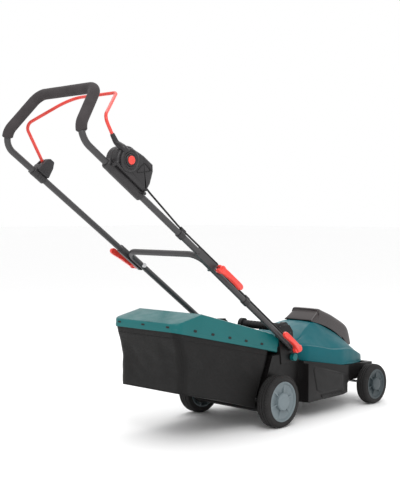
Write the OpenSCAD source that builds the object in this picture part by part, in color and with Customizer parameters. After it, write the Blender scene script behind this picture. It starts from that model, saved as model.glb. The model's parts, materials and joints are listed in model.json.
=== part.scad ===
/* [Stance] */
// Distance of the rear axle ahead of the origin, which lies under the middle of the mower
rear_axle_x = 101.25; // [95:0.25:120]
// Distance between the axles
wheelbase = 572; // [565:1:580]
// Width over the outer faces of the wheels
track_w = 424; // [420:1:430]

/* [Wheels] */
// Rear wheel diameter
rear_d = 180; // [176:1:182]
// Rear tyre width
rear_w = 50; // [46:1:52]
// Front wheel diameter
front_d = 152; // [148:1:154]
// Front tyre width
front_w = 46; // [42:1:48]
// Axle diameter
axle_d = 10; // [8:1:12]

/* [Deck] */
// Half-width of the deck between the wheels
deck_half = 190; // [186:1:194]
// Half-width of the deck beside the wheels
waist_half = 150; // [146:1:152]
// Wall of the deck and the covers
wall = 5; // [4:1:6]
// Distance of the motor shaft ahead of the rear axle
motor_x = 300; // [296:1:304]
// Length of the blade
blade_l = 330; // [300:5:340]

/* [Handle] */
// Outer diameter of the handle tubes
tube_d = 20; // [18:1:20]
// Wall of the handle tubes
tube_wall = 1.5; // [1:0.25:2]
// Half of the distance between the legs of the lower handle
lower_half = 164; // [163:0.5:165]
// Half of the distance between the legs of the upper handle
upper_half = 179.5; // [179:0.5:180]
// Diameter of the foam grip
foam_d = 33; // [30:1:34]

/* [Bag] */
// Half-width of the grass bag
bag_half = 150; // [146:1:150]
// Wall of the grass bag
bag_wall = 3; // [2:1:4]

/* [Hidden] */
$fn = 48;

rear_r = rear_d / 2;
front_r = front_d / 2;
tube_r = tube_d / 2;
wheel_out = track_w / 2;
run = 0.08;                        // radial clearance of a running fit
gap = 0.4;                         // gap between neighbouring parts

// Side view points are [x, z], with x measured ahead of the rear axle.
deck_pivot = [100, 262];           // bolts between the deck brackets and the lower handle
mid_pivot = [-310, 555];           // bolts between the two handles
lower_top = [-378, 603.6];         // crossbar of the lower handle
elbow = [-871.5, 949];             // where the legs of the upper handle turn up
grip_bar = [-760, 1090];           // crossbar of the grip
grip_half = 133;                   // half-length of that crossbar, to its corners
handle_dir = unit(elbow - mid_pivot);  // up along the legs of the upper handle
handle_up = [handle_dir[1], -handle_dir[0]];  // across the legs, forwards and up
bail_pivot = [-705, 882];          // hinge of the bail
bail_knee = [-775, 1002];
bail_bar = [-660, 1086];
bail_knee_half = 185;
bail_bar_half = 106;
rod_r = 5;                         // radius of the bail's rod
flat_t = 10;                       // thickness of the flattened tube ends
flat_h = 25;                       // height of the flattened tube ends
cable_r = 3;

function xz(p, y) = [p[0], y, p[1]];
function unit(v) = v / norm(v);
function along(u, n) = bail_foot + u * handle_dir + n * handle_up;
// The foot of the bail's hinge on the centre line of the upper handle
bail_foot = mid_pivot + ((bail_pivot - mid_pivot) * handle_dir) * handle_dir;
tube_dir = unit(mid_pivot - deck_pivot);  // up along the legs of the lower handle

// ---------- shared shapes ----------

module at_axle() {
  translate([rear_axle_x, 0, 0]) children();
}

// A plate with the side view given by points, from y0 to y1
module slab(points, y0, y1) {
  translate([0, y1, 0]) rotate([90, 0, 0]) linear_extrude(height = y1 - y0) polygon(points);
}

// A rod across the mower, from y0 to y1, at the side view point p
module cross_rod(p, y0, y1, r) {
  translate([p[0], y1, p[1]]) rotate([90, 0, 0]) cylinder(r = r, h = y1 - y0);
}

module rod(a, b, r) {
  d = b - a;
  translate(a)
    rotate([0, acos(d[2] / norm(d)), atan2(d[1], d[0])])
      cylinder(r = r, h = norm(d));
}

// The part of a bend of radius bend_r at point p, between points before and after it
module elbow_piece(before, p, after, bend_r, r) {
  d1 = unit(p - before);
  d2 = unit(after - p);
  turn = acos(d1 * d2);
  centre = p + unit(d2 - d1) * bend_r / cos(turn / 2);
  x_dir = unit(p - d1 * bend_r * tan(turn / 2) - centre);
  z_dir = unit(cross(d1, d2));
  y_dir = cross(z_dir, x_dir);
  multmatrix([
    [x_dir[0], y_dir[0], z_dir[0], centre[0]],
    [x_dir[1], y_dir[1], z_dir[1], centre[1]],
    [x_dir[2], y_dir[2], z_dir[2], centre[2]],
    [0, 0, 0, 1]
  ])
    rotate_extrude(angle = turn) translate([bend_r, 0]) circle(r = r);
}

function bend_cut(points, bends, i) =
  (i <= 0 || i >= len(points) - 1) ? 0 :
  bends[i] * tan(acos(unit(points[i] - points[i - 1]) * unit(points[i + 1] - points[i])) / 2);

// A round rod through the points, bent to the radius bends[i] at each inner point i
module bent_rod(points, bends, r) {
  last = len(points) - 1;
  // Short collars where the straight lengths meet the bends, so that they form one solid
  for (i = [0 : last - 1]) {
    d = unit(points[i + 1] - points[i]);
    start = points[i] + d * bend_cut(points, bends, i);
    end = points[i + 1] - d * bend_cut(points, bends, i + 1);
    if (i > 0)
      rod(start - 0.5 * d, start + 0.5 * d, r + 0.03);
    if (i < last - 1)
      rod(end - 0.5 * d, end + 0.5 * d, r + 0.03);
  }
  for (i = [0 : last - 1]) {
    d = unit(points[i + 1] - points[i]);
    rod(points[i] + d * bend_cut(points, bends, i),
        points[i + 1] - d * bend_cut(points, bends, i + 1), r);
  }
  for (i = [1 : last - 1])
    elbow_piece(points[i - 1], points[i], points[i + 1], bends[i], r);
}

// Both sides of the mower, from one child drawn on its left
module both_sides() {
  children();
  mirror([0, 1, 0]) children();
}

// ---------- deck ----------

// Plan view of the deck
deck_plan = [
  [-68, waist_half], [158, waist_half], [166, deck_half], [380, deck_half],
  [440, 172], [452, waist_half], [632, waist_half], [660, 120],
  [660, -120], [632, -waist_half], [452, -waist_half], [440, -172],
  [380, -deck_half], [166, -deck_half], [158, -waist_half], [-68, -waist_half]
];
// Side view of the middle of the deck, between the wheels
deck_core = [
  [-62, 62], [12, 240], [50, 240], [62, 266], [150, 232], [163, 207.5], [425, 162.5], [600, 151.5],
  [640, 149.5], [656, 138], [662, 118], [662, 96], [448, 96], [430, 60], [60, 60], [20, 45], [-40, 45]
];
// Side views of the deck's flanks: under the skirt of the cover, and outside it
flank_inner = [
  [150, 207.5], [163, 207.5], [425, 162.5], [455, 160], [455, 96], [430, 96], [428, 60], [150, 60]
];
flank_outer = [
  [150, 202], [168, 199], [326, 158], [358, 146], [400, 134], [455, 118],
  [455, 96], [430, 96], [428, 60], [150, 60]
];
flank_hollow = [
  [172, 184], [378, 184], [434, 168], [446, 145], [446, -145], [434, -168], [378, -184], [172, -184]
];
screw_places = [[196, 162], [431, 151]];
chamber_r = 172;
chamber_top = 132;
plate_top = chamber_top + wall;
axle_tab = [[546, 100], [556, 62], [588, 62], [598, 100]];
flap_hinge = [112, 283];
flap_half = 112;
hinge_ear = [[96, 240], [103, 287], [107, 291], [117, 291], [122, 286], [132, 232]];

// Way from the blade chamber up to the grass bag
module chute(y_half) {
  slab([
    [200, 40], [200, chamber_top - 2], [60, 214], [20, 224], [-60, 224],
    [-120, 112], [40, 112], [88, 72], [100, 40]
  ], -y_half, y_half);
}

module deck_shell() {
  color([0.13, 0.13, 0.14]) at_axle() difference() {
    union() {
      intersection() {
        linear_extrude(height = 300) polygon(deck_plan);
        union() {
          slab(deck_core, -waist_half, waist_half);
          slab(flank_inner, -171, 171);
          slab(flank_outer, -deck_half, deck_half);
        }
      }
      both_sides() slab(axle_tab, 138, waist_half);
      both_sides() slab(hinge_ear, flap_half + 1, flap_half + 8);
    }
    translate([motor_x, 0, -1]) cylinder(r = chamber_r, h = chamber_top + 1, $fn = 96);
    chute(100);
    // Hollows below the motor cover, and below the nose
    translate([215, -142, plate_top]) cube([395, 284, 200]);
    translate([480, -142, 0]) cube([150, 284, chamber_top]);
    // Hollow of the tail, round the rear axle, and of the flanks
    translate([-52, -142, 0]) cube([105, 284, 106]);
    linear_extrude(height = 120) difference() {
      polygon(flank_hollow);
      translate([motor_x, 0]) circle(r = chamber_r + wall, $fn = 96);
    }
    // Pockets beside the chute, and between the top of the flanks and the motor cover
    both_sides() slab([[56, 30], [56, 225], [148, 222], [148, 30]], 106, waist_half - wall);
    translate([215, -156, plate_top]) cube([200, 312, 200]);
    // Opening for the motor shaft
    translate([motor_x, 0, 100]) cylinder(r = 21, h = 100);
    // Holes of the cover's screws, up through the roof of the flanks
    for (p = screw_places)
      both_sides() translate([p[0], p[1], 110]) cylinder(r = 2.5, h = 42);
    // Seats of the axles and of the pin of the rear flap
    cross_rod([0, rear_r], -200, 200, axle_d / 2);
    cross_rod([wheelbase, front_r], -200, 200, axle_d / 2);
    cross_rod(flap_hinge, -200, 200, 3);
  }
}

// ---------- motor cover ----------

// Side view and plan view of the skirt, which runs round the deck
skirt_side = [
  [163, 208], [163, 262], [355, 228], [457, 219], [560, 190], [640, 168], [640, 150],
  [600, 152], [425, 163]
];
skirt_plan = [
  [163, 128], [190, 166], [400, 170], [470, 158], [600, 122], [640, 80],
  [640, -80], [600, -122], [470, -158], [400, -170], [190, -166], [163, -128]
];
skirt_plan_in = [
  [168, 122], [194, 160], [399, 164], [467, 152], [596, 117], [635, 76],
  [635, -76], [596, -117], [467, -152], [399, -164], [194, -160], [168, -122]
];
bay_x = [394, 540];
bay_half = 46;
lid_hinge = [622, 205];
key_x = 548;

// The hood is a hull over cross-sections, each [x, half-width, bottom, top]
hood_sections = [
  [164, 126, 208.5, 262], [250, 156, 200, 246], [360, 64, 205, 324], [450, 148, 190, 220],
  [492, 62, 200, 276], [560, 112, 170, 190], [578, 54, 180, 217], [624, 60, 152, 172]
];

module hood_solid(inset, low) {
  hull()
    for (s = hood_sections)
      translate([s[0] + (s[0] < 300 ? inset : -inset), 0, s[2] - low])
        linear_extrude(height = s[3] - s[2] + low - inset)
          square([8, 2 * (s[1] - inset)], center = true);
}

module motor_cover() {
  color([0.14, 0.45, 0.44]) at_axle() difference() {
    union() {
      intersection() {
        linear_extrude(height = 400) polygon(skirt_plan);
        union() {
          slab(skirt_side, -200, 200);
          hood_solid(0, 0);
        }
      }
      // Lugs that carry the hinge of the battery lid
      slab([[608, 172], [616, 210], [628, 210], [634, 162]], -22, 22);
      cross_rod(lid_hinge, -44, 44, 3);
    }
    difference() {
      intersection() {
        linear_extrude(height = 400) polygon(skirt_plan_in);
        union() {
          translate([0, 0, -wall]) slab(skirt_side, -200, 200);
          translate([0, 0, -wall - 40]) slab(skirt_side, -200, 200);
          hood_solid(wall, 40);
        }
      }
      translate([600, -30, 0]) cube([60, 60, 400]);
    }
    translate([bay_x[0], -bay_half, 100]) cube([bay_x[1] - bay_x[0], 2 * bay_half, 300]);
    // Hole of the cable
    rod([140, -112, 243.875], [192, -112, 234.125], cable_r);
    // Socket of the safety key
    translate([key_x - 0.5, -2.5, 100]) cube([11, 5, 300]);
  }
}

module cover_screws() {
  color([0.6, 0.6, 0.62]) at_axle()
    for (p = screw_places)
      both_sides() translate([p[0], p[1], 0]) {
        translate([0, 0, 116]) cylinder(r = 4.5, h = 4);
        translate([0, 0, 119]) cylinder(r = 2.5, h = 31);
      }
}

module cover_lug() {
  color([0.14, 0.45, 0.44]) at_axle() both_sides() {
    cross_rod([116, 226], 154, 170, 13);
    cross_rod([116, 226], 150, 154, 9);
  }
}

// ---------- battery ----------

bay_floor = 152;
bay_wall = 3;

module battery_bay() {
  color([0.1, 0.1, 0.11]) at_axle() difference() {
    translate([bay_x[0] + 0.5, -bay_half + 0.5, bay_floor])
      cube([bay_x[1] - bay_x[0] - 1, 2 * bay_half - 1, 66]);
    translate([bay_x[0] + 0.5 + bay_wall, -bay_half + 0.5 + bay_wall, bay_floor + bay_wall])
      cube([bay_x[1] - bay_x[0] - 1 - 2 * bay_wall, 2 * bay_half - 1 - 2 * bay_wall, 100]);
  }
}

module battery_contacts() {
  color([0.75, 0.6, 0.3]) at_axle()
    for (y = [-18, -6, 6, 18])
      translate([424, y - 1, bay_floor + bay_wall]) cube([24, 2, 10]);
}

// The pack has a slot below for the contacts, and a grip on top
module battery_pack() {
  color([0.08, 0.08, 0.09]) at_axle() difference() {
    union() {
      translate([406, -36, bay_floor + bay_wall + 0.5]) cube([112, 72, 84]);
      translate([420, -30, 238]) cube([60, 60, 14]);
    }
    for (y = [-18, -6, 6, 18])
      translate([420, y - 2, 100]) cube([32, 4, bay_floor + bay_wall + 12 - 100]);
    translate([436, -40, 240]) cube([26, 80, 5]);
  }
}

module safety_key() {
  color([0.85, 0.15, 0.12]) at_axle() {
    translate([key_x, -2, 205]) cube([10, 4, 40]);
    translate([key_x - 3, -9, 245]) cube([16, 18, 8]);
  }
}

lid_side = [
  [352, 325.5], [398, 358], [394, 365], [404, 369], [440, 360], [522, 324], [590, 284], [617, 212],
  [590, 212], [582, 219], [504, 277], [372, 325.5]
];
lid_side_in = [
  [360, 324], [404, 356], [406, 364], [439, 355], [520, 319.5], [586, 281], [610, 216],
  [610, 200], [580, 200], [504, 260], [372, 300]
];
lid_half = 66;

module battery_lid() {
  color([0.25, 0.22, 0.22, 0.7]) at_axle() difference() {
    union() {
      difference() {
        slab(lid_side, -lid_half, lid_half);
        slab(lid_side_in, -lid_half + 4, lid_half - 4);
      }
      for (y = [-42, 24]) {
        cross_rod(lid_hinge, y, y + 18, 6);
        slab([[611, 222], [615, 222], [626, 209], [618, 203], [611, 212]], y, y + 18);
      }
    }
    cross_rod(lid_hinge, -60, 60, 3 + run);
  }
}

// ---------- motor and blade ----------

shaft_r = 8;

module motor_housing() {
  color([0.3, 0.3, 0.32]) at_axle() translate([motor_x, 0, 0]) difference() {
    union() {
      translate([0, 0, plate_top]) cylinder(r = 62, h = 6);
      translate([0, 0, plate_top]) cylinder(r = 55, h = 88);
    }
    translate([0, 0, plate_top + 6]) cylinder(r = 50, h = 76);
    translate([0, 0, 100]) cylinder(r = shaft_r + run, h = 200);
  }
}

module motor_stator() {
  color([0.7, 0.4, 0.2]) at_axle() translate([motor_x, 0, plate_top + 16]) difference() {
    cylinder(r = 50, h = 50);
    translate([0, 0, -1]) cylinder(r = 31, h = 52);
    for (i = [0 : 11])
      rotate(30 * i) translate([38, 0, -1]) cylinder(r = 4, h = 52, $fn = 24);
  }
}

module motor_rotor() {
  color([0.5, 0.5, 0.52]) at_axle() translate([motor_x, 0, 0]) {
    translate([0, 0, plate_top + 16]) cylinder(r = 29, h = 50);
    translate([0, 0, 84]) cylinder(r = shaft_r, h = plate_top);
  }
}

module controller_board() {
  color([0.1, 0.3, 0.15]) at_axle() {
    translate([225, -120, plate_top + 6]) cube([70, 46, 4]);
    translate([235, -112, plate_top + 10]) cube([40, 30, 14]);
  }
}

blade_z = 72;

module blade_carrier() {
  color([0.12, 0.12, 0.13]) at_axle() translate([motor_x, 0, 0]) difference() {
    union() {
      translate([0, 0, blade_z + 4]) cylinder(r = 26, h = 26);
      translate([0, 0, blade_z + 4]) cylinder(r = 60, h = 4);
      for (i = [0 : 7])
        rotate(45 * i) translate([24, -1.5, blade_z + 4]) cube([34, 3, 20]);
    }
    translate([0, 0, 84]) cylinder(r = shaft_r, h = 50);
    translate([0, 0, 60]) cylinder(r = 5, h = 60);
  }
}

module mower_blade() {
  color([0.65, 0.66, 0.68]) at_axle() translate([motor_x, 0, 0]) difference() {
    union() {
      translate([-blade_l / 2, -22, blade_z]) cube([blade_l, 44, 4]);
      for (a = [0, 180])
        rotate(a) translate([blade_l / 2 - 62, 14, blade_z + 4]) cube([60, 8, 9]);
    }
    translate([0, 0, 60]) cylinder(r = 5, h = 60);
    for (a = [0, 180])
      rotate(a) translate([blade_l / 2 - 70, -23, blade_z - 1]) cube([80, 8, 8]);
  }
}

module blade_bolt() {
  color([0.5, 0.5, 0.52]) at_axle() translate([motor_x, 0, 0]) {
    translate([0, 0, 62]) cylinder(r = 9, h = 7, $fn = 6);
    translate([0, 0, 69]) cylinder(r = 16, h = 3);
    translate([0, 0, 72]) cylinder(r = 5, h = 12);
  }
}

// ---------- axles and wheels ----------

module rear_axle() {
  color([0.6, 0.6, 0.62]) at_axle()
    cross_rod([0, rear_r], 5 - wheel_out, wheel_out - 5, axle_d / 2);
}

module front_axle() {
  color([0.6, 0.6, 0.62]) at_axle()
    cross_rod([wheelbase, front_r], 5 - wheel_out, wheel_out - 5, axle_d / 2);
}

// Collars on the axles, against the outside of the deck's walls
module axle_clips() {
  color([0.55, 0.55, 0.57]) at_axle()
    for (axle = [[0, rear_r, 150.5], [wheelbase, front_r, 150.5]])
      both_sides() difference() {
        cross_rod([axle[0], axle[1]], axle[2], axle[2] + 3, axle_d / 2 + 5);
        cross_rod([axle[0], axle[1]], axle[2] - 1, axle[2] + 4, axle_d / 2);
      }
}

module wheel_retainers() {
  color([0.6, 0.6, 0.62]) at_axle()
    for (axle = [[0, rear_r], [wheelbase, front_r]])
      both_sides() difference() {
        cross_rod(axle, wheel_out - 8, wheel_out - 6, axle_d / 2 + 4);
        cross_rod(axle, wheel_out - 9, wheel_out - 5, axle_d / 2);
      }
}

// A tyre about the cross axis, from the middle plane y, with three grooves in its tread
module tyre(r, rim, w) {
  groove = 2.5;
  rotate([90, 0, 0]) rotate_extrude($fn = 96) polygon([
    [rim, -w / 2], [r - 12, -w / 2], [r - 4, -w / 2 + 2], [r, -w / 2 + 7],
    [r, -w / 4 - 2], [r - groove, -w / 4 - 1], [r - groove, -w / 4 + 1], [r, -w / 4 + 2],
    [r, -2], [r - groove, -1], [r - groove, 1], [r, 2],
    [r, w / 4 - 2], [r - groove, w / 4 - 1], [r - groove, w / 4 + 1], [r, w / 4 + 2],
    [r, w / 2 - 7], [r - 4, w / 2 - 2], [r - 12, w / 2], [rim, w / 2]
  ]);
}

// A hub: rim, dished web with six openings' worth of ribs, sleeve on the axle, and cap
module hub(rim, w) {
  rotate([90, 0, 0]) rotate_extrude($fn = 96) polygon([
    [axle_d / 2 + run, -w / 2], [16, -w / 2], [16, w / 2 - 20], [rim - 5, w / 2 - 20],
    [rim - 5, -w / 2], [rim, -w / 2], [rim, w / 2], [rim - 5, w / 2], [rim - 8, w / 2 - 10],
    [20, w / 2 - 10], [20, w / 2 - 16], [axle_d / 2 + run, w / 2 - 16]
  ]);
  for (i = [0 : 5])
    rotate([0, 60 * i, 0]) translate([15, 20 - w / 2, -2]) cube([rim - 18, w - 20, 4]);
  // Cap over the end of the axle, on the outer side
  rotate([90, 0, 0]) difference() {
    translate([0, 0, w / 2 - 10]) cylinder(r = 22, h = 11);
    translate([0, 0, w / 2 - 11]) cylinder(r = 12, h = 9);
  }
}

module at_wheel(x, r, w, side) {
  translate([x, side * (wheel_out - w / 2 - 1), r])
    rotate([0, 0, side > 0 ? 180 : 0]) children();
}

rear_rim = 69;
front_rim = 57;

module rear_tyre(side) {
  color([0.1, 0.1, 0.1]) at_axle() at_wheel(0, rear_r, rear_w, side) tyre(rear_r, rear_rim, rear_w);
}

module front_tyre(side) {
  color([0.1, 0.1, 0.1]) at_axle()
    at_wheel(wheelbase, front_r, front_w, side) tyre(front_r, front_rim, front_w);
}

module rear_hub(side) {
  color([0.42, 0.48, 0.5]) at_axle() at_wheel(0, rear_r, rear_w, side) hub(rear_rim, rear_w);
}

module front_hub(side) {
  color([0.42, 0.48, 0.5]) at_axle()
    at_wheel(wheelbase, front_r, front_w, side) hub(front_rim, front_w);
}

// ---------- carry handle, brackets and flap ----------

carry_bar = [140, 322];
carry_half = 104;
carry_r = 13;

module carry_handle() {
  color([0.11, 0.11, 0.12]) at_axle() {
    cross_rod(carry_bar, -carry_half, carry_half, carry_r - 1);
    for (i = [-7 : 7])
      cross_rod(carry_bar, 11 * i - 3, 11 * i + 3, carry_r);
    both_sides() difference() {
      union() {
        cross_rod(carry_bar, 88, carry_half, 21);
        slab([[121, 318], [159, 318], [156, 235], [144, 240.5], [128, 246.5]], 88, carry_half);
      }
      cross_rod([carry_bar[0], carry_bar[1]], carry_half - 6, carry_half + 1, 6);
    }
  }
}

// Plates that hold the lower ends of the handle
bracket_side = [
  [58, 205], [44, 300], [48, 330], [60, 343], [104, 340], [122, 318], [130, 262], [128, 212],
  [116, 205]
];

module handle_bracket() {
  difference() {
    union() {
      slab(bracket_side, waist_half + 0.2, lower_half - tube_r - 0.6);
      slab([[52, 300], [54, 326], [62, 337], [100, 334], [113, 316], [116, 292]],
           waist_half - 12, waist_half + 0.2);
    }
    cross_rod(deck_pivot, 100, 200, bolt_r);
    cross_rod([116, 226], 100, 200, 9);
  }
}

module handle_bracket_left() {
  color([0.11, 0.11, 0.12]) at_axle() handle_bracket();
}

module handle_bracket_right() {
  color([0.11, 0.11, 0.12]) at_axle() mirror([0, 1, 0]) handle_bracket();
}

bolt_r = 4;
bar_r = 2.5;
pin_out = 14;                      // from a washer's inner face to the hinge of its lever
deck_washer = lower_half + tube_r + gap;
mid_washer = upper_half + flat_t / 2 + gap;
deck_lever_dir = unit([-81, 59]);
mid_lever_left_dir = unit([-100, 54]);
mid_lever_right_dir = -handle_dir;

// Bolt on the left of the mower: head inside, washer outside, and bar for the lever
module pivot_bolt(p, head, washer, dir) {
  pin = xz(p, washer + 3 + pin_out);
  across = [-dir[1], 0, dir[0]];
  cross_rod(p, head, washer + 3 + pin_out, bolt_r);
  cross_rod(p, head - 5, head, 8);
  cross_rod(p, washer, washer + 3, 11);
  rod(pin - 8.6 * across, pin + 8.6 * across, bar_r);
}

module deck_bolts() {
  color([0.6, 0.6, 0.62]) at_axle() both_sides()
    pivot_bolt(deck_pivot, waist_half - 0.4, deck_washer, deck_lever_dir);
}

module flap_pin() {
  color([0.6, 0.6, 0.62]) at_axle() cross_rod(flap_hinge, -flap_half - 9, flap_half + 9, 3);
}

module flap_spring() {
  color([0.6, 0.6, 0.62]) at_axle()
    for (i = [0 : 4])
      difference() {
        cross_rod(flap_hinge, 3 * i - 7, 3 * i - 5, 5.4);
        cross_rod(flap_hinge, 3 * i - 8, 3 * i - 4, 3.5);
      }
}

flap_side = [[117, 279], [117, 287], [26, 316], [24, 312], [100, 284.5]];

module rear_flap() {
  color([0.12, 0.12, 0.13]) at_axle() difference() {
    union() {
      slab(flap_side, -flap_half, flap_half);
      cross_rod(flap_hinge, -flap_half, flap_half, 6);
    }
    cross_rod(flap_hinge, -200, 200, 3 + run);
    translate([104, -9, 270]) cube([20, 18, 30]);
  }
}

// ---------- grass bag ----------

lid_rear = -459;
bag_lid_side = [
  [lid_rear, 362], [lid_rear, 387], [-337, 411], [14, 317], [48, 297], [36, 251.5]
];
bag_lid_side_in = [
  [lid_rear + 3, 300], [lid_rear + 3, 384], [-337, 408], [13, 314], [44, 294], [33, 240]
];
// Plan view of the lid, with rounded rear corners
function corner_arc(x, y, r, a0) = [for (a = [a0 : 15 : a0 + 90]) [x + r * cos(a), y + r * sin(a)]];

function bag_plan(inset) = concat(
  [[48 - inset, -bag_half + inset]],
  [[48 - inset, bag_half - inset]],
  corner_arc(lid_rear + 32, bag_half - 32, 32 - inset, 90),
  corner_arc(lid_rear + 32, -bag_half + 32, 32 - inset, 180)
);

module bag_lid() {
  color([0.14, 0.45, 0.44]) at_axle() difference() {
    intersection() {
      linear_extrude(height = 500) polygon(bag_plan(0));
      slab(bag_lid_side, -200, 200);
    }
    intersection() {
      linear_extrude(height = 500) polygon(bag_plan(3));
      slab(bag_lid_side_in, -200, 200);
    }
    // Fill window slots in the rear of the lid
    for (y = [-50, 0, 50])
      translate([lid_rear - 1, y - 12, 370]) cube([8, 24, 4]);
  }
}

bag_side = [
  [-455, 361], [-449, 300], [-431, 172], [-424, 165], [-350, 146], [-257, 124], [-158, 95],
  [-81, 71], [-3, 249], [-3, 258]
];
bag_side_in = [
  [-451, 400], [-445, 300], [-427, 176], [-422, 169], [-350, 150], [-256, 128], [-157, 99],
  [-84, 77], [-9, 249], [-9, 400]
];

module bag_fabric() {
  color([0.1, 0.1, 0.1]) at_axle() difference() {
    intersection() {
      linear_extrude(height = 500) polygon(bag_plan(3.5));
      slab(bag_side, -200, 200);
    }
    intersection() {
      linear_extrude(height = 500) polygon(bag_plan(3.5 + bag_wall));
      slab(bag_side_in, -200, 200);
    }
    // Mouth, against the chute
    slab([[-80, 105], [40, 105], [40, 232], [-28, 232]], -112, 112);
  }
}

// Wire frame round the mouth, inside the bag
module bag_frame() {
  color([0.5, 0.5, 0.52]) at_axle() {
    frame = [
      [-16, -120, 240], [-16, 120, 240], [-79, 120, 98], [-79, -120, 98], [-16, -120, 240]
    ];
    for (i = [0 : 3])
      rod(frame[i], frame[i + 1], 2.5);
    for (i = [0 : 3])
      translate(frame[i]) sphere(r = 3);
  }
}

// ---------- lower handle ----------

// Centre line of the lower handle, on the left from the deck up to the middle of the crossbar
lower_end = deck_pivot - 16 * tube_dir;
lower_path = [
  xz(lower_end, lower_half), xz(lower_top, lower_half), xz(lower_top, -lower_half),
  xz(lower_end, -lower_half)
];
lower_core = [
  lower_path[0] - xz(2 * tube_dir, 0), lower_path[1], lower_path[2],
  lower_path[3] - xz(2 * tube_dir, 0)
];
lower_bends = [0, 42, 42, 0];
tube_up = [tube_dir[1], -tube_dir[0]];

function on_leg(s, n) = deck_pivot + s * tube_dir + n * tube_up;

module lower_handle_tube() {
  color([0.28, 0.28, 0.29]) at_axle() difference() {
    bent_rod(lower_path, lower_bends, tube_r);
    bent_rod(lower_core, lower_bends, tube_r - tube_wall);
    cross_rod(deck_pivot, -300, 300, bolt_r + run);
    cross_rod(mid_pivot, -300, 300, bolt_r);
  }
}

module mid_bolts() {
  color([0.6, 0.6, 0.62]) at_axle() {
    pivot_bolt(mid_pivot, lower_half - tube_r - 0.4, mid_washer, mid_lever_left_dir);
    mirror([0, 1, 0])
      pivot_bolt(mid_pivot, lower_half - tube_r - 0.4, mid_washer, mid_lever_right_dir);
  }
}

cable_up = tube_r + cable_r + 1.5;

module lower_cable() {
  color([0.07, 0.07, 0.07]) at_axle()
    rod(xz(on_leg(470, cable_up), -lower_half), xz(on_leg(60, cable_up), -lower_half), cable_r);
}

clip_s = 295;

module lower_cable_clip() {
  color([0.09, 0.09, 0.1]) at_axle() difference() {
    union() {
      rod(xz(on_leg(clip_s, 0), -lower_half), xz(on_leg(clip_s + 22, 0), -lower_half), tube_r + 2.5);
      rod(xz(on_leg(clip_s, cable_up), -lower_half),
          xz(on_leg(clip_s + 22, cable_up), -lower_half), cable_r + 2.5);
    }
    rod(xz(on_leg(clip_s - 9, 0), -lower_half), xz(on_leg(clip_s + 31, 0), -lower_half), tube_r);
    rod(xz(on_leg(clip_s - 9, cable_up), -lower_half),
        xz(on_leg(clip_s + 31, cable_up), -lower_half), cable_r);
  }
}

module deck_cable() {
  color([0.07, 0.07, 0.07]) at_axle()
    bent_rod([[126, -143, 302], [138, -132, 266], [150, -112, 242], [182, -112, 236]],
             [0, 14, 10, 0], cable_r);
}

// ---------- clamping levers ----------

cam_r = 13.5;

// Left-hand lever, from its hinge, with x along it and y outwards
module cam_lever(length) {
  difference() {
    union() {
      intersection() {
        cylinder(r = cam_r, h = 18, center = true);
        translate([-20, -20, -10]) cube([40, 26, 20]);
      }
      translate([0, 1, -8]) cube([length - 8, 5, 16]);
      translate([length - 8, 6, 0]) rotate([90, 0, 0]) cylinder(r = 8, h = 5);
      translate([0, 6, 0]) rotate([90, 0, 0]) cylinder(r = 12, h = 5);
    }
    translate([-20, -20, -4.5]) cube([24.5, 24.5, 9]);
    cylinder(r = bar_r + run, h = 30, center = true);
  }
}

module lever_at(p, washer, dir, length) {
  translate(xz(p, washer + 3 + pin_out))
    rotate([0, -atan2(dir[1], dir[0]), 0])
      cam_lever(length);
}

module cam_lever_mid_left() {
  color([0.9, 0.2, 0.16]) at_axle() lever_at(mid_pivot, mid_washer, mid_lever_left_dir, 114);
}

module cam_lever_mid_right() {
  color([0.9, 0.2, 0.16]) at_axle() mirror([0, 1, 0])
    lever_at(mid_pivot, mid_washer, mid_lever_right_dir, 114);
}

module cam_lever_deck_left() {
  color([0.9, 0.2, 0.16]) at_axle() lever_at(deck_pivot, deck_washer, deck_lever_dir, 102);
}

module cam_lever_deck_right() {
  color([0.9, 0.2, 0.16]) at_axle() mirror([0, 1, 0])
    lever_at(deck_pivot, deck_washer, deck_lever_dir, 102);
}

// ---------- upper handle ----------

upper_foot = mid_pivot + 100 * handle_dir;
upper_path = [
  xz(upper_foot, upper_half), xz(elbow, upper_half), xz(grip_bar, grip_half),
  xz(grip_bar, -grip_half), xz(elbow, -upper_half), xz(upper_foot, -upper_half)
];
upper_core = [
  xz(upper_foot - 4 * handle_dir, upper_half), xz(elbow, upper_half), xz(grip_bar, grip_half),
  xz(grip_bar, -grip_half), xz(elbow, -upper_half), xz(upper_foot - 4 * handle_dir, -upper_half)
];
upper_bends = [0, 53.5, 38, 38, 53.5, 0];

// Side view of a flattened leg, from its rounded lower end to the round tube
module flat_leg(y0, y1, half) {
  slab([
    mid_pivot - 10 * handle_dir - half * handle_up, upper_foot + 6 * handle_dir - half * handle_up,
    upper_foot + 6 * handle_dir + half * handle_up, mid_pivot - 10 * handle_dir + half * handle_up
  ], y0, y1);
  cross_rod(mid_pivot - 10 * handle_dir, y0, y1, half);
}

module upper_handle_tube() {
  color([0.28, 0.28, 0.29]) at_axle() difference() {
    union() {
      bent_rod(upper_path, upper_bends, tube_r);
      both_sides() flat_leg(upper_half - flat_t / 2, upper_half + flat_t / 2, flat_h / 2);
    }
    bent_rod(upper_core, upper_bends, tube_r - tube_wall);
    both_sides() cross_rod(mid_pivot, 160, 200, bolt_r + run);
  }
}

module foam_grip() {
  color([0.33, 0.3, 0.31]) at_axle() difference() {
    bent_rod(upper_path, upper_bends, foam_d / 2);
    bent_rod(upper_path, upper_bends, tube_r + 0.02);
    translate([-1500, -300, 0]) cube([3000, 600, 957]);
  }
}

// ---------- switch box, on the right leg ----------

function leg_points(points) = [for (p = points) along(p[0], p[1])];

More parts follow.
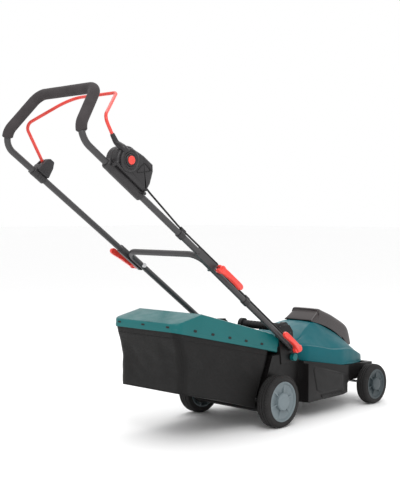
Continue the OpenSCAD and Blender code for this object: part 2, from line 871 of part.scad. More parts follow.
box_outline = leg_points([
  [0, 83], [-40, 90], [-86, 91], [-97, 74], [-108, 36], [-116, 14], [-116, -15], [45, -15],
  [45, 15], [30, 30]
]);
box_inside = leg_points([
  [-6, 78], [-40, 85], [-83, 86], [-92, 72], [-102, 38], [-108, 18], [28, 18]
]);
box_split = -upper_half;
boss_r = 18;

module box_shape(y0, y1, circle_r, outline) {
  slab(outline, y0, y1);
  cross_rod(bail_pivot, y0, y1, circle_r);
}

module leg_bore(y) {
  rod(xz(along(-130, 0), y), xz(along(60, 0), y), tube_r);
}

module clamp_screw_set(r_shank, r_head) {
  for (u = [36, -104])
    cross_rod(along(u, 0), -204, -190, r_shank);
  for (u = [36, -104])
    cross_rod(along(u, 0), -209, -204, r_head);
  cross_rod(along(24, 0), 190, 198, r_shank);
  cross_rod(along(24, 0), 198, 202.5, r_head);
}

module switch_housing() {
  color([0.1, 0.1, 0.11]) at_axle() difference() {
    box_shape(box_split + gap, -152, 42, box_outline);
    box_shape(box_split - 1, -156, 37, box_inside);
    leg_bore(-upper_half);
    rod(xz(along(-90, 36), -upper_half), xz(along(-130, 30), -upper_half), cable_r);
  }
}

module switch_cover() {
  color([0.1, 0.1, 0.11]) at_axle() difference() {
    union() {
      difference() {
        box_shape(-207, box_split - gap, 42, box_outline);
        box_shape(-203, box_split + 1, 37, box_inside);
      }
      cross_rod(bail_pivot, -218, -190, boss_r);
    }
    cross_rod(bail_pivot, -230, -170, 13 + run);
    leg_bore(-upper_half);
    rod(xz(along(-90, 36), -upper_half), xz(along(-130, 30), -upper_half), cable_r);
    clamp_screw_set(2.5, 4.5);
    // Triangular recess in the outer face
    slab(leg_points([[-50, 30], [-50, 72], [-84, 66]]), -208, -205);
  }
}

module clamp_screws() {
  color([0.75, 0.75, 0.77]) at_axle() clamp_screw_set(2.5, 4.5);
}

module microswitch() {
  color([0.2, 0.2, 0.22]) at_axle() {
    slab(leg_points([[-20, 34], [-20, 46], [-44, 46], [-44, 34]]), -176, -160);
    slab(leg_points([[-10, 39], [-10, 42], [-38, 42], [-38, 39]]), -178, -176);
  }
}

module bail_spring() {
  color([0.6, 0.6, 0.62]) at_axle()
    for (i = [0 : 3])
      difference() {
        cross_rod(bail_pivot, 4 * i - 201, 4 * i - 199, boss_r + 5);
        cross_rod(bail_pivot, 4 * i - 202, 4 * i - 198, boss_r + 3);
      }
}

module lock_button() {
  color([0.85, 0.12, 0.12]) at_axle() {
    cross_rod(bail_pivot, -224, -195, 13);
    cross_rod(bail_pivot, -195, -188, 5);
  }
}

upper_clip_u = -306;
upper_cable_up = flat_h / 2 + cable_r + 1.5;

module upper_cable() {
  color([0.07, 0.07, 0.07]) at_axle()
    bent_rod([
      xz(along(-92, 35.75), -upper_half), xz(along(-140, 29), -upper_half),
      xz(along(-290, upper_cable_up), -upper_half), xz(along(-488, upper_cable_up), -upper_half)
    ], [0, 60, 80, 0], cable_r);
}

module upper_cable_clip() {
  color([0.09, 0.09, 0.1]) at_axle() difference() {
    union() {
      rod(xz(along(upper_clip_u, 0), -upper_half),
          xz(along(upper_clip_u - 22, 0), -upper_half), tube_r + 2.5);
      rod(xz(along(upper_clip_u, upper_cable_up), -upper_half),
          xz(along(upper_clip_u - 22, upper_cable_up), -upper_half), cable_r + 2.5);
      slab(leg_points([
        [upper_clip_u - 1, 5], [upper_clip_u - 1, upper_cable_up - 0.5],
        [upper_clip_u - 21, upper_cable_up - 0.5], [upper_clip_u - 21, 5]
      ]), -upper_half - 4, -upper_half + 4);
    }
    rod(xz(along(upper_clip_u + 9, 0), -upper_half),
        xz(along(upper_clip_u - 31, 0), -upper_half), tube_r);
    rod(xz(along(upper_clip_u + 9, upper_cable_up), -upper_half),
        xz(along(upper_clip_u - 31, upper_cable_up), -upper_half), cable_r);
  }
}

// ---------- bail and its bracket on the left leg ----------

bracket_outline = leg_points([
  [30, -15], [30, 15], [20, 20], [12, 56], [4, 62], [-12, 62], [-25, 40], [-25, -15]
]);

module bail_bracket() {
  color([0.1, 0.1, 0.11]) at_axle() difference() {
    slab(bracket_outline, 158, 200);
    leg_bore(upper_half);
    cross_rod(bail_pivot, 150, 210, rod_r + run);
    slab(leg_points([[-8, 33.5], [-8, 70], [60, 70], [60, 33.5]]), 179, 191);
    clamp_screw_set(2.5, 4.5);
  }
}

bail_right_end = bail_pivot + 56 * unit(bail_knee - bail_pivot);
bail_path = [
  xz(bail_pivot, bail_knee_half), xz(bail_knee, bail_knee_half), xz(bail_bar, bail_bar_half),
  xz(bail_bar, -bail_bar_half), xz(bail_knee, -bail_knee_half), xz(bail_right_end, -bail_knee_half)
];

module bail_rod() {
  color([0.88, 0.2, 0.16]) at_axle() {
    bent_rod(bail_path, [0, 25, 90, 25, 25, 0], rod_r);
    cross_rod(bail_pivot, 160, 198, rod_r);
  }
}

bail_arm = unit(bail_knee - bail_pivot);
bail_side = [bail_arm[1], -bail_arm[0]];

module bail_lever() {
  color([0.1, 0.1, 0.11]) at_axle() difference() {
    union() {
      cross_rod(bail_pivot, -217, -207.6, 34);
      slab([
        bail_pivot - 20 * bail_side, bail_pivot + 80 * bail_arm - 10 * bail_side,
        bail_pivot + 80 * bail_arm + 10 * bail_side, bail_pivot + 20 * bail_side
      ], -217, -207.6);
      slab([
        bail_pivot + 50 * bail_arm - 10 * bail_side, bail_pivot + 80 * bail_arm - 10 * bail_side,
        bail_pivot + 80 * bail_arm + 10 * bail_side, bail_pivot + 50 * bail_arm + 10 * bail_side
      ], -217, -176);
    }
    cross_rod(bail_pivot, -230, -190, boss_r + run);
    rod(xz(bail_right_end, -bail_knee_half), xz(bail_knee, -bail_knee_half), rod_r);
  }
}

// ---------- drawing ----------

deck_shell();
motor_cover();
battery_bay();
battery_contacts();
motor_housing();
motor_stator();
controller_board();
carry_handle();
handle_bracket_left();
handle_bracket_right();
front_axle();
rear_axle();
axle_clips();
wheel_retainers();
flap_pin();
flap_spring();
cover_screws();
cover_lug();
deck_bolts();
deck_cable();
motor_rotor();
blade_carrier();
mower_blade();
blade_bolt();
rear_tyre(1);  // rear_tyre_left
rear_tyre(-1);  // rear_tyre_right
rear_hub(1);  // rear_hub_left
rear_hub(-1);  // rear_hub_right
front_tyre(1);  // front_tyre_left
front_tyre(-1);  // front_tyre_right
front_hub(1);  // front_hub_left
front_hub(-1);  // front_hub_right
battery_lid();
battery_pack();
safety_key();
rear_flap();
bag_lid();
bag_fabric();
bag_frame();
lower_handle_tube();
lower_cable();
lower_cable_clip();
mid_bolts();
cam_lever_mid_left();
cam_lever_mid_right();
cam_lever_deck_left();
cam_lever_deck_right();
upper_handle_tube();
foam_grip();
switch_housing();
switch_cover();
bail_bracket();
clamp_screws();
microswitch();
bail_spring();
upper_cable();
upper_cable_clip();
bail_rod();
bail_lever();
lock_button();
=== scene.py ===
import json
from math import cos, degrees, exp, pi, radians, sin, sqrt, tan, tau

import bmesh
import bpy
from mathutils import Matrix, Vector, noise


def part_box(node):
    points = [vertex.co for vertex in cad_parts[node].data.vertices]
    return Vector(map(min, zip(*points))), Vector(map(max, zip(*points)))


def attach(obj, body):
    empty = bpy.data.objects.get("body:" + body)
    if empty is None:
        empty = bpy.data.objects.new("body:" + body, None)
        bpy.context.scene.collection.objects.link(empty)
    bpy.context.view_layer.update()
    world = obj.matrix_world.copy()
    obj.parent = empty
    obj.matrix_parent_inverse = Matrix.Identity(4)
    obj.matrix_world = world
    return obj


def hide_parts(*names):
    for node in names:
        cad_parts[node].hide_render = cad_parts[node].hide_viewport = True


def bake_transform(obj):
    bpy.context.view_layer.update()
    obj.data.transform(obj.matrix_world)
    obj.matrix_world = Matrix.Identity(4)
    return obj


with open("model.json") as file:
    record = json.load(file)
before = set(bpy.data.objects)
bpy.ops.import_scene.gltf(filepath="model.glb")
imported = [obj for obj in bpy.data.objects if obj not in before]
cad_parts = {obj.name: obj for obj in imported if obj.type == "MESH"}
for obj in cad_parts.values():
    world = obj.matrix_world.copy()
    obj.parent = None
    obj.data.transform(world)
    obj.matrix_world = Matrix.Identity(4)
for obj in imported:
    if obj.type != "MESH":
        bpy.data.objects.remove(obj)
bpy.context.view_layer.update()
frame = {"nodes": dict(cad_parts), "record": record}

AX = (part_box("rear_axle")[0][0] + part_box("rear_axle")[1][0]) / 2


def mm(x, y, z):
    """A point in metres, from millimetres ahead of the rear axle, to the left and up."""
    return Vector((AX + x / 1000, y / 1000, z / 1000))


# ---- camera, light and floor

CAMERA_AZIMUTH, CAMERA_ELEVATION = radians(-46.53), radians(2.23)
CAMERA_PLACE = (-2505.4, -2191.9, 731.9)
CAMERA_LENS, CAMERA_SENSOR = 67.73, 36


def linked(name, data):
    """A new object in the scene."""
    obj = bpy.data.objects.new(name, data)
    bpy.context.scene.collection.objects.link(obj)
    return obj


def make_camera():
    azimuth, elevation = CAMERA_AZIMUTH, CAMERA_ELEVATION
    back = Vector((sin(azimuth) * cos(elevation),
                   -cos(azimuth) * cos(elevation), sin(elevation)))
    right = Vector((cos(azimuth), sin(azimuth), 0))
    up = back.cross(right)
    data = bpy.data.cameras.new("camera")
    data.lens = CAMERA_LENS
    data.sensor_width = CAMERA_SENSOR
    camera = linked("camera", data)
    turn = Matrix((right, up, back)).transposed()
    camera.matrix_world = Matrix.Translation(mm(*CAMERA_PLACE)) @ turn.to_4x4()
    bpy.context.scene.camera = camera


def area_light(name, place, target, size, power):
    data = bpy.data.lights.new(name, "AREA")
    data.shape = "RECTANGLE"
    data.size, data.size_y = size
    data.energy = power
    light = linked(name, data)
    light.location = place
    light.rotation_euler = (Vector(target) - Vector(place)).to_track_quat("-Z", "Y").to_euler()


def make_studio():
    world = bpy.data.worlds.new("studio")
    world.use_nodes = True
    background = world.node_tree.nodes["Background"].inputs
    background["Color"].default_value = (1, 1, 1, 1)
    background["Strength"].default_value = 1.0
    bpy.context.scene.world = world
    area_light("key", (-2.2, -2.4, 3.0), (0, 0, 0.3), (1.6, 1.6), 46)
    area_light("top", (0.2, 0.4, 3.2), (0, 0, 0.3), (2.2, 2.2), 24)
    area_light("rear", (2.6, 1.6, 1.8), (0, 0, 0.4), (1.6, 1.6), 14)
    bpy.context.scene.view_settings.view_transform = "Standard"

    bm = bmesh.new()
    bmesh.ops.create_grid(bm, x_segments=8, y_segments=8, size=40)
    mesh = bpy.data.meshes.new("floor")
    bm.to_mesh(mesh)
    bm.free()
    floor = linked("floor", mesh)
    mat = bpy.data.materials.new("floor_paint")
    mat.use_nodes = True
    bsdf = mat.node_tree.nodes["Principled BSDF"]
    bsdf.inputs["Base Color"].default_value = (0.975, 0.975, 0.975, 1)
    bsdf.inputs["Roughness"].default_value = 0.9
    mesh.materials.append(mat)


# ---- materials

class Nodes:
    """A new material with its Principled shader, and short ways to add nodes to it."""

    def __init__(self, name):
        self.mat = bpy.data.materials.new(name)
        self.mat.use_nodes = True
        self.tree = self.mat.node_tree
        self.bsdf = self.tree.nodes["Principled BSDF"]
        self.coord = self.tree.nodes.new("ShaderNodeTexCoord").outputs["Object"]

    def add(self, kind, inputs=(), **values):
        """A node with values set on its properties and, by (name, value), on its inputs."""
        node = self.tree.nodes.new(kind)
        for key, value in values.items():
            setattr(node, key, value)
        for key, value in inputs:
            node.inputs[key].default_value = value
        return node

    def link(self, a, b):
        self.tree.links.new(a, b)

    def put(self, **values):
        for key, value in values.items():
            self.bsdf.inputs[key.replace("_", " ")].default_value = value

    def feed(self, color, rough, normal):
        """Links the textures of the surface's colour, roughness and bump."""
        for socket, value in (("Base Color", color), ("Roughness", rough), ("Normal", normal)):
            if value is not None:
                self.link(value, self.bsdf.inputs[socket])

    def noise(self, scale, detail=3, stretch=None):
        node = self.add("ShaderNodeTexNoise", (("Scale", scale), ("Detail", detail)))
        source = self.coord
        if stretch:
            mapping = self.add("ShaderNodeMapping", (("Scale", stretch),))
            self.link(source, mapping.inputs["Vector"])
            source = mapping.outputs["Vector"]
        self.link(source, node.inputs["Vector"])
        return node.outputs["Fac"]

    def ramp(self, value, low, high, start=0.3, end=0.7):
        node = self.add("ShaderNodeMapRange", (("From Min", start), ("From Max", end),
                                               ("To Min", low), ("To Max", high)))
        self.link(value, node.inputs["Value"])
        return node.outputs["Result"]

    def blend(self, value, color_a, color_b):
        node = self.add("ShaderNodeMix", data_type="RGBA")
        for i, color in ((6, color_a), (7, color_b)):
            node.inputs[i].default_value = (*color, 1)
        self.link(value, node.inputs[0])
        return node.outputs[2]

    def bump(self, value, strength, distance, after=None):
        node = self.add("ShaderNodeBump", (("Strength", strength), ("Distance", distance)))
        self.link(value, node.inputs["Height"])
        if after is not None:
            self.link(after, node.inputs["Normal"])
        return node.outputs["Normal"]

    def math(self, operation, a, b=None):
        node = self.add("ShaderNodeMath", operation=operation)
        for i, value in enumerate((a, b)):
            if value is None:
                continue
            if isinstance(value, (int, float)):
                node.inputs[i].default_value = value
            else:
                self.link(value, node.inputs[i])
        return node.outputs[0]


def shade(color, factor):
    return tuple(min(1, c * factor) for c in color)


def surface(name, color, shades, cloud, rough, grain, **uniform):
    """A material from three noises. Cloud is (scale, detail, start, end) of the tone between the
    colour's two shades, rough is (scale, detail, middle, spread), and grain is (scale, detail,
    strength, depth) of the bump. The rest are uniform values of the shader."""
    m = Nodes(name)
    dark, light = (shade(color, factor) for factor in shades)
    m.feed(m.blend(m.ramp(m.noise(*cloud[:2]), 0, 1, *cloud[2:]), dark, light),
           m.ramp(m.noise(*rough[:2]), rough[2] - rough[3], rough[2] + rough[3]),
           m.bump(m.noise(*grain[:2]), *grain[2:]))
    m.put(**uniform)
    return m.mat


def moulded(name, color, rough, strength, grain=900, spread=0.07, coat=0.0, gloss=0.5):
    """Moulded plastic: faint cloudiness, fine spark-eroded grain and uneven gloss."""
    coating = {"Coat_Weight": coat, "Coat_Roughness": 0.18} if coat else {}
    return surface(name, color, (1 - spread, 1 + spread), (9, 3), (35, 4, rough, 0.06),
                   (grain, 2, strength, 0.0002), Specular_IOR_Level=gloss, **coating)


def painted(name, color, rough, flake=0.0):
    """Powder-coated tube: satin with orange-peel ripple and fine speckle."""
    return surface(name, color, (0.94, 1.12), (1500, 1, 0.45, 0.75), (50, 3, rough, 0.05),
                   (420, 2, 0.18, 0.0002), Metallic=flake)


def rubber(name, color, rough=0.75, grain=700, strength=0.3):
    """Matt rubber with a little dust in its grain."""
    return surface(name, color, (0.85, 1.25), (14, 4, 0.35, 0.75), (60, 3, rough, 0.08),
                   (grain, 3, strength, 0.0003), Specular_IOR_Level=0.25)


def metal(name, color, rough, stretch=(1, 1, 1)):
    """Bare metal with fine streaks, drawn out along the axes that stretch leaves at 1."""
    m = Nodes(name)
    streak = m.noise(300, 4, stretch)
    m.feed(m.blend(m.ramp(streak, 0, 1), shade(color, 0.86), shade(color, 1.06)),
           m.ramp(streak, rough - 0.08, rough + 0.1), m.bump(streak, 0.25, 0.0001))
    m.put(Metallic=1.0)
    return m.mat


def smoked(name):
    """Dark glossy plastic, like a smoked lid that hardly shows what is behind it."""
    m = Nodes(name)
    tone = m.ramp(m.noise(7, 2), 0, 1)
    m.feed(m.blend(tone, (0.02, 0.014, 0.014), (0.032, 0.023, 0.023)),
           m.ramp(m.noise(40, 3), 0.12, 0.2), m.bump(m.noise(90, 2), 0.05, 0.0003))
    m.put(Coat_Weight=0.25, Coat_Roughness=0.08, Specular_IOR_Level=0.4)
    return m.mat


def woven(name, color, pitch, rough):
    """Coated woven cloth: two sets of threads over and under, with a faint slub."""
    m = Nodes(name)
    split = m.add("ShaderNodeSeparateXYZ")
    m.link(m.coord, split.inputs[0])
    turn = tau / pitch
    waves = [m.math("SINE", m.math("MULTIPLY", split.outputs[i], turn)) for i in range(3)]
    weave = m.math("MULTIPLY", m.math("ADD", waves[0], waves[1]), waves[2])
    slub = m.noise(220, 3)
    height = m.math("ADD", m.math("MULTIPLY", weave, 0.5), slub)
    tone = m.ramp(m.math("ADD", m.math("MULTIPLY", weave, 0.18), m.noise(11, 4)), 0, 1)
    m.feed(m.blend(tone, shade(color, 0.75), shade(color, 1.3)),
           m.ramp(slub, rough - 0.1, rough + 0.08), m.bump(height, 0.5, 0.0003))
    m.put(Specular_IOR_Level=0.22, Sheen_Weight=0.03, Sheen_Roughness=0.5)
    return m.mat


def foam(name, color):
    """Closed-cell foam: small pits and a dusty sheen."""
    m = Nodes(name)
    cell = m.add("ShaderNodeTexVoronoi", (("Scale", 900),))
    m.link(m.coord, cell.inputs["Vector"])
    tone = m.ramp(m.noise(30, 4), 0, 1)
    wide = m.bump(m.noise(160, 3), 0.35, 0.0004)
    m.feed(m.blend(tone, shade(color, 0.88), shade(color, 1.12)), None,
           m.bump(cell.outputs["Distance"], 0.45, 0.0003, wide))
    m.put(Roughness=0.9, Specular_IOR_Level=0.2, Sheen_Weight=0.06, Sheen_Roughness=0.4)
    return m.mat


MAT = {}


def make_materials():
    MAT.update(
        teal=moulded("teal_plastic", (0.004, 0.118, 0.122), 0.36, 0.12, 1100, coat=0.08,
                     gloss=0.22),
        # The motor cover's teal is a darker, less glossy copy of the lid's teal plastic: painted
        # shade for the light its upward faces catch
        teal_cover=moulded("teal_cover_plastic", (0.0022, 0.096, 0.116), 0.42, 0.12, 1100,
                           gloss=0.12),
        black=moulded("black_plastic", (0.0085, 0.008, 0.0085), 0.5, 0.4, spread=0.12, gloss=0.3),
        deck=moulded("deck_plastic", (0.0055, 0.0049, 0.005), 0.42, 0.35, spread=0.12,
                     gloss=0.22),
        red=moulded("red_plastic", (0.78, 0.045, 0.03), 0.38, 0.15, spread=0.05, coat=0.3),
        hub_rear=moulded("hub_plastic_rear", (0.15, 0.185, 0.2), 0.45, 0.2, gloss=0.35),
        hub_front=moulded("hub_plastic_front", (0.04, 0.054, 0.06), 0.45, 0.2, gloss=0.35),
        tube=painted("tube_paint", (0.05, 0.048, 0.05), 0.4, 0.25),
        bail=painted("bail_coating", (0.72, 0.055, 0.04), 0.28),
        steel=metal("steel", (0.55, 0.55, 0.56), 0.32),
        blade=metal("blade_steel", (0.5, 0.5, 0.51), 0.36, (1, 12, 12)),
        can=metal("motor_can", (0.42, 0.43, 0.45), 0.42, (1, 1, 8)),
        copper=metal("copper_winding", (0.6, 0.27, 0.1), 0.35, (1, 1, 10)),
        brass=metal("contact_brass", (0.7, 0.5, 0.2), 0.3),
        board=moulded("board_lacquer", (0.02, 0.1, 0.045), 0.4, 0.1),
        tyre=rubber("tyre_rubber", (0.019, 0.0182, 0.0182)),
        cable=rubber("cable_sheath", (0.012, 0.012, 0.012), 0.45, 500, 0.15),
        foam=foam("grip_foam", (0.05, 0.044, 0.0455)),
        fabric=woven("bag_cloth", (0.0048, 0.0044, 0.0043), 0.0016, 0.62),
        trim=woven("trim_tape", (0.0045, 0.0043, 0.0043), 0.001, 0.7),
        smoked=smoked("smoked_plastic"),
        clamp=moulded("clamp_plastic", (0.018, 0.0165, 0.018), 0.42, 0.45, gloss=0.45))


NODE_MATERIALS = {
    "teal": ("motor_cover", "cover_lug", "bag_lid"),
    "red": ("safety_key", "lock_button", "cam_lever_mid_left", "cam_lever_mid_right",
            "cam_lever_deck_left", "cam_lever_deck_right"),
    "deck": ("deck_shell", "rear_flap", "handle_bracket_left", "handle_bracket_right"),
    "black": ("battery_bay", "battery_pack", "carry_handle", "blade_carrier", "microswitch"),
    "clamp": ("clamp_screws", "switch_housing", "switch_cover", "bail_bracket", "bail_lever",
              "lower_cable_clip", "upper_cable_clip"),
    "hub_rear": ("rear_hub_left", "rear_hub_right"),
    "hub_front": ("front_hub_left", "front_hub_right"),
    "tyre": ("rear_tyre_left", "rear_tyre_right", "front_tyre_left", "front_tyre_right"),
    "tube": ("lower_handle_tube", "upper_handle_tube"),
    "bail": ("bail_rod",),
    "steel": ("front_axle", "rear_axle", "axle_clips", "wheel_retainers", "flap_pin",
              "flap_spring", "cover_screws", "deck_bolts", "mid_bolts",
              "bail_spring", "motor_rotor", "blade_bolt", "bag_frame"),
    "blade": ("mower_blade",),
    "can": ("motor_housing",),
    "copper": ("motor_stator",),
    "brass": ("battery_contacts",),
    "board": ("controller_board",),
    "cable": ("deck_cable", "lower_cable", "upper_cable"),
    "foam": ("foam_grip",),
    "fabric": ("bag_fabric",),
    "smoked": ("battery_lid",),
}


def finish_cad_nodes():
    for key, names in NODE_MATERIALS.items():
        for name in names:
            obj = frame["nodes"][name]
            for slot in obj.material_slots:
                slot.material = MAT[key]
            if not obj.material_slots:
                obj.data.materials.append(MAT[key])


# ---- mesh helpers

def piece(name, bm, material, body, angle=35, replaces=()):
    """A new object from bm, riding on a body unless that is None; edges over angle stay sharp."""
    mesh = bpy.data.meshes.new(name)
    bmesh.ops.recalc_face_normals(bm, faces=bm.faces)
    bm.to_mesh(mesh)
    bm.free()
    mesh.materials.append(MAT[material])
    mesh.shade_smooth()
    mesh.set_sharp_from_angle(angle=radians(angle))
    obj = linked(name, mesh)
    if body:
        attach(obj, body)
    if replaces:
        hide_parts(*replaces)
    return obj


def grid_faces(bm, rows, close_rows=False, close_columns=False):
    """Quads between neighbouring rows of vertices."""
    n, m = len(rows), len(rows[0])
    for i in range(n if close_rows else n - 1):
        for j in range(m if close_columns else m - 1):
            corners = (rows[i][j], rows[i][(j + 1) % m],
                       rows[(i + 1) % n][(j + 1) % m], rows[(i + 1) % n][j])
            if len(set(corners)) == 4:
                bm.faces.new(corners)


def capped(bm, rows):
    """A closed tube of rows, with a face over each end."""
    grid_faces(bm, rows, close_columns=True)
    bm.faces.new(rows[0])
    bm.faces.new(rows[-1])


def span(bm, a, b, shares):
    """A row from vertex a to vertex b, with a new vertex at each share of the way."""
    return [a] + [bm.verts.new(a.co.lerp(b.co, t)) for t in shares] + [b]


def lathe(bm, profile, x, z, segments, shift=None):
    """A closed profile of (y, radius) turned about the cross axis through (x, z)."""
    rows = []
    for i, (y, r) in enumerate(profile):
        row = []
        for j in range(segments):
            t = tau * j / segments
            yy, rr = shift(i, t, y, r) if shift else (y, r)
            row.append(bm.verts.new(mm(x + rr * cos(t), yy, z + rr * sin(t))))
        rows.append(row)
    grid_faces(bm, rows, close_rows=True, close_columns=True)


def rounded_path(points, bends, step=5.0):
    """Points along a line through points, each inner corner turned into an arc."""
    points = [Vector(p) for p in points]
    path = [points[0]]
    for before, corner, after, radius in zip(points, points[1:], points[2:], bends):
        d1, d2 = (corner - before).normalized(), (after - corner).normalized()
        turn = d1.angle(d2)
        cut = radius * tan(turn / 2)
        centre = corner + (d2 - d1).normalized() * radius / cos(turn / 2)
        start, axis = corner - d1 * cut - centre, d1.cross(d2)
        count = max(4, int(degrees(turn) / step))
        for k in range(count + 1):
            path.append(centre + Matrix.Rotation(turn * k / count, 3, axis) @ start)
    path.append(points[-1])
    return path


def resample(path, spacing):
    """The same line with points at most about spacing apart."""
    out = [path[0]]
    for a, b in zip(path, path[1:]):
        count = max(1, round((b - a).length / spacing))
        out += [a.lerp(b, (k + 1) / count) for k in range(count)]
    return out


def sweep(bm, path, radius, sides=16, caps=True):
    """A round tube along a path in millimetres. Its radius is a number, or a function of the
    share of the way along, the distance along and the whole length."""
    path = [Vector(p) for p in path]
    lengths = [0]
    for a, b in zip(path, path[1:]):
        lengths.append(lengths[-1] + (b - a).length)
    tangent = (path[1] - path[0]).normalized()
    normal = tangent.orthogonal().normalized()
    rows = []
    for i, point in enumerate(path):
        ahead = path[min(i + 1, len(path) - 1)] - path[max(i - 1, 0)]
        new = ahead.normalized()
        normal = (tangent.rotation_difference(new) @ normal).normalized()
        tangent = new
        side = tangent.cross(normal)
        t = lengths[i] / lengths[-1]
        r = radius(t, lengths[i], lengths[-1]) if callable(radius) else radius
        rows.append([
            bm.verts.new(mm(*(point + r * (cos(a) * normal + sin(a) * side))))
            for a in (tau * k / sides for k in range(sides))])
    if caps:
        capped(bm, rows)
    else:
        grid_faces(bm, rows, close_columns=True)
    return rows


BODY_OF = {node: body for body, nodes in frame["record"]["behaviour"]["bodies"].items()
           for node in nodes}


def refined(node, material, width, angle=28):
    """A CAD node's shape with its flat faces merged and its edges rounded."""
    source = frame["nodes"][node]
    bm = bmesh.new()
    bm.from_mesh(source.data)
    bm.transform(source.matrix_world)
    bmesh.ops.remove_doubles(bm, verts=bm.verts, dist=2e-6)
    bmesh.ops.dissolve_limit(bm, angle_limit=radians(1.5), verts=bm.verts, edges=bm.edges)
    obj = piece(node + "_finish", bm, material, BODY_OF[node], 30, (node,))
    bevel = obj.modifiers.new("edges", "BEVEL")
    bevel.width = width / 1000
    bevel.segments = 2
    bevel.limit_method = "ANGLE"
    bevel.angle_limit = radians(angle)
    bevel.harden_normals = True
    return obj


def smooth_step(value, low, high):
    """0 below low, 1 above high, and a smooth rise between."""
    t = min(1, max(0, (value - low) / (high - low)))
    return t * t * (3 - 2 * t)


def pinch(s, length, reach):
    """1 at both ends of a tube, falling to 0 within reach."""
    return (1 - smooth_step(min(s, length - s), 0, reach)) ** 2


def swept(name, path, radius, sides, material, body, angle=40, replaces=()):
    """A piece that is one tube along a path."""
    bm = bmesh.new()
    sweep(bm, path, radius, sides)
    return piece(name, bm, material, body, angle, replaces)


def ring(name, profile, centre, segments, material, body, angle=35, replaces=(), shift=None):
    """A piece that is one lathed ring about the cross axis through centre."""
    bm = bmesh.new()
    lathe(bm, profile, centre[0], centre[1], segments, shift)
    return piece(name, bm, material, body, angle, replaces)


def along_profile(points, x):
    """The height at x of a line through [x, z] points, in order of x."""
    for (x0, z0), (x1, z1) in zip(points, points[1:]):
        if x <= x1:
            return z0 + (z1 - z0) * (x - x0) / (x1 - x0)
    return points[-1][1]


# ---- wheels

WHEEL_FACE = 211        # the outer face of the tyres, from the middle plane
TREAD_STEPS, HUB_STEPS = 300, 240
SPOKES, SPOKE_TURN = 6, 0.26


def make_wheel(end, side, x, radius, rim, width):
    """A tyre with a grooved tread, and a dished hub with six pockets between its spokes."""
    body = f"{end}_wheel_{side}"
    sign = 1 if side == "left" else -1
    middle = sign * (WHEEL_FACE - width / 2)
    half = width / 2

    tread = [(half - 9, radius - 0.4), (half - 12.5, radius), (half - 13.5, radius - 3),
             (half - 15.5, radius - 3), (half - 16.5, radius), (1.6, radius), (1, radius - 3)]
    outer = [(half - 2.5, rim + 0.2), (half - 0.4, rim + 1.2), (half, rim + 3),
             (half - 0.6, rim + 4.2), (half - 1.4, rim + 5), (half - 0.9, rim + 6),
             (half - 1.2, rim + (radius - rim) * 0.55), (half - 2.2, radius - 6.6),
             (half - 1.2, radius - 6), (half - 1.4, radius - 5), (half - 4.4, radius - 2.4)]
    profile = outer + tread
    profile = profile + [(-y, r) for y, r in reversed(profile)]

    def lugs(i, t, y, r):
        if abs(y) > half - 12.9 and r > radius - 4:
            notch = (t * 30 / pi) % 1
            r -= 1.6 * (smooth_step(notch, 0, 0.12) - smooth_step(notch, 0.28, 0.4))
        return middle + sign * y, r

    bm = bmesh.new()
    lathe(bm, profile, x, radius, TREAD_STEPS, lugs)
    piece(f"{end}_tyre_{side}_rubber", bm, "tyre", body, 28, (f"{end}_tyre_{side}",))

    # The hub's outer face, as depths below the rim's lip over radius and angle
    cap = rim * 0.44
    rings = [6, cap * 0.45, cap * 0.75, cap - 3, cap - 1, cap, cap + 0.8, cap + 3.5, cap + 4.5]
    rings += [cap + 4.5 + (rim - 9.5 - cap - 4.5) * k / 6 for k in range(1, 7)]
    rings += [rim - 8.5, rim - 7.5, rim - 6.5, rim - 5, rim - 4, rim - 1, rim]

    def face(r, t):
        if r <= cap:
            dome = 2.6 * sqrt(max(0, 1 - (r / cap) ** 2))
            return 3.2 + dome - 2.4 * smooth_step(r, cap - 3, cap)
        if r > rim - 4.5:
            return 0.4 * smooth_step(r, rim - 5, rim - 4)
        sector = abs((t / (tau / SPOKES)) % 1 - 0.5) * 2
        spoke = smooth_step(sector, 0.80, 0.86)
        deep = 9.5 - 4.5 * smooth_step(r, cap + 6, rim - 9)
        pocket = deep * (1 - spoke) + 4.2 * spoke
        wall = smooth_step(r, rim - 9, rim - 6.5)
        return -pocket * (1 - wall) - 1.2 * wall

    def circle(r, depth):
        return [bm.verts.new(mm(x + r * cos(t), middle + sign * depth(t),
                                radius + r * sin(t)))
                for t in (tau * k / HUB_STEPS for k in range(HUB_STEPS))]

    bm = bmesh.new()
    rows = [circle(r, lambda t: half - 2.2 + face(r, t - SPOKE_TURN)) for r in rings]
    hub_back = [(rim, -half + 2), (rim - 4, -half + 2), (rim - 4.5, half - 20),
                (16, half - 20), (15, -half + 1), (5.08, -half + 1), (5.08, half - 14)]
    rows += [circle(r, lambda t: y) for r, y in hub_back]
    capped(bm, rows)
    for k in range(SPOKES):
        turn = tau * k / SPOKES + SPOKE_TURN
        add_rib(bm, x, radius, middle, sign, turn, 15.5, rim - 4.2, -half + 5, half - 21)
    piece(f"{end}_hub_{side}_moulding", bm, f"hub_{end}", body, 30, (f"{end}_hub_{side}",))


def add_rib(bm, x, z, middle, sign, turn, r0, r1, y0, y1):
    """A flat rib behind a hub's face."""
    out = Vector((cos(turn), 0, sin(turn)))
    across = Vector((-sin(turn), 0, cos(turn))) * 1.6
    corners = []
    for r, y in ((r0, y0), (r1, y0), (r1, y1), (r0, y1)):
        for s in (-1, 1):
            p = out * r + across * s
            corners.append(bm.verts.new(mm(x + p.x, middle + sign * y, z + p.z)))
    for face in ((0, 2, 4, 6), (1, 3, 5, 7), (0, 1, 3, 2), (2, 3, 5, 4), (4, 5, 7, 6),
                 (6, 7, 1, 0)):
        bm.faces.new([corners[i] for i in face])


def make_wheels():
    for side in ("left", "right"):
        make_wheel("rear", side, 0, 90, 68.6, 50)
        make_wheel("front", side, 572, 76, 57.0, 46)


# ---- grip

UPPER_HALF, LOWER_HALF = 179.5, 164       # the handles' legs, from the middle plane


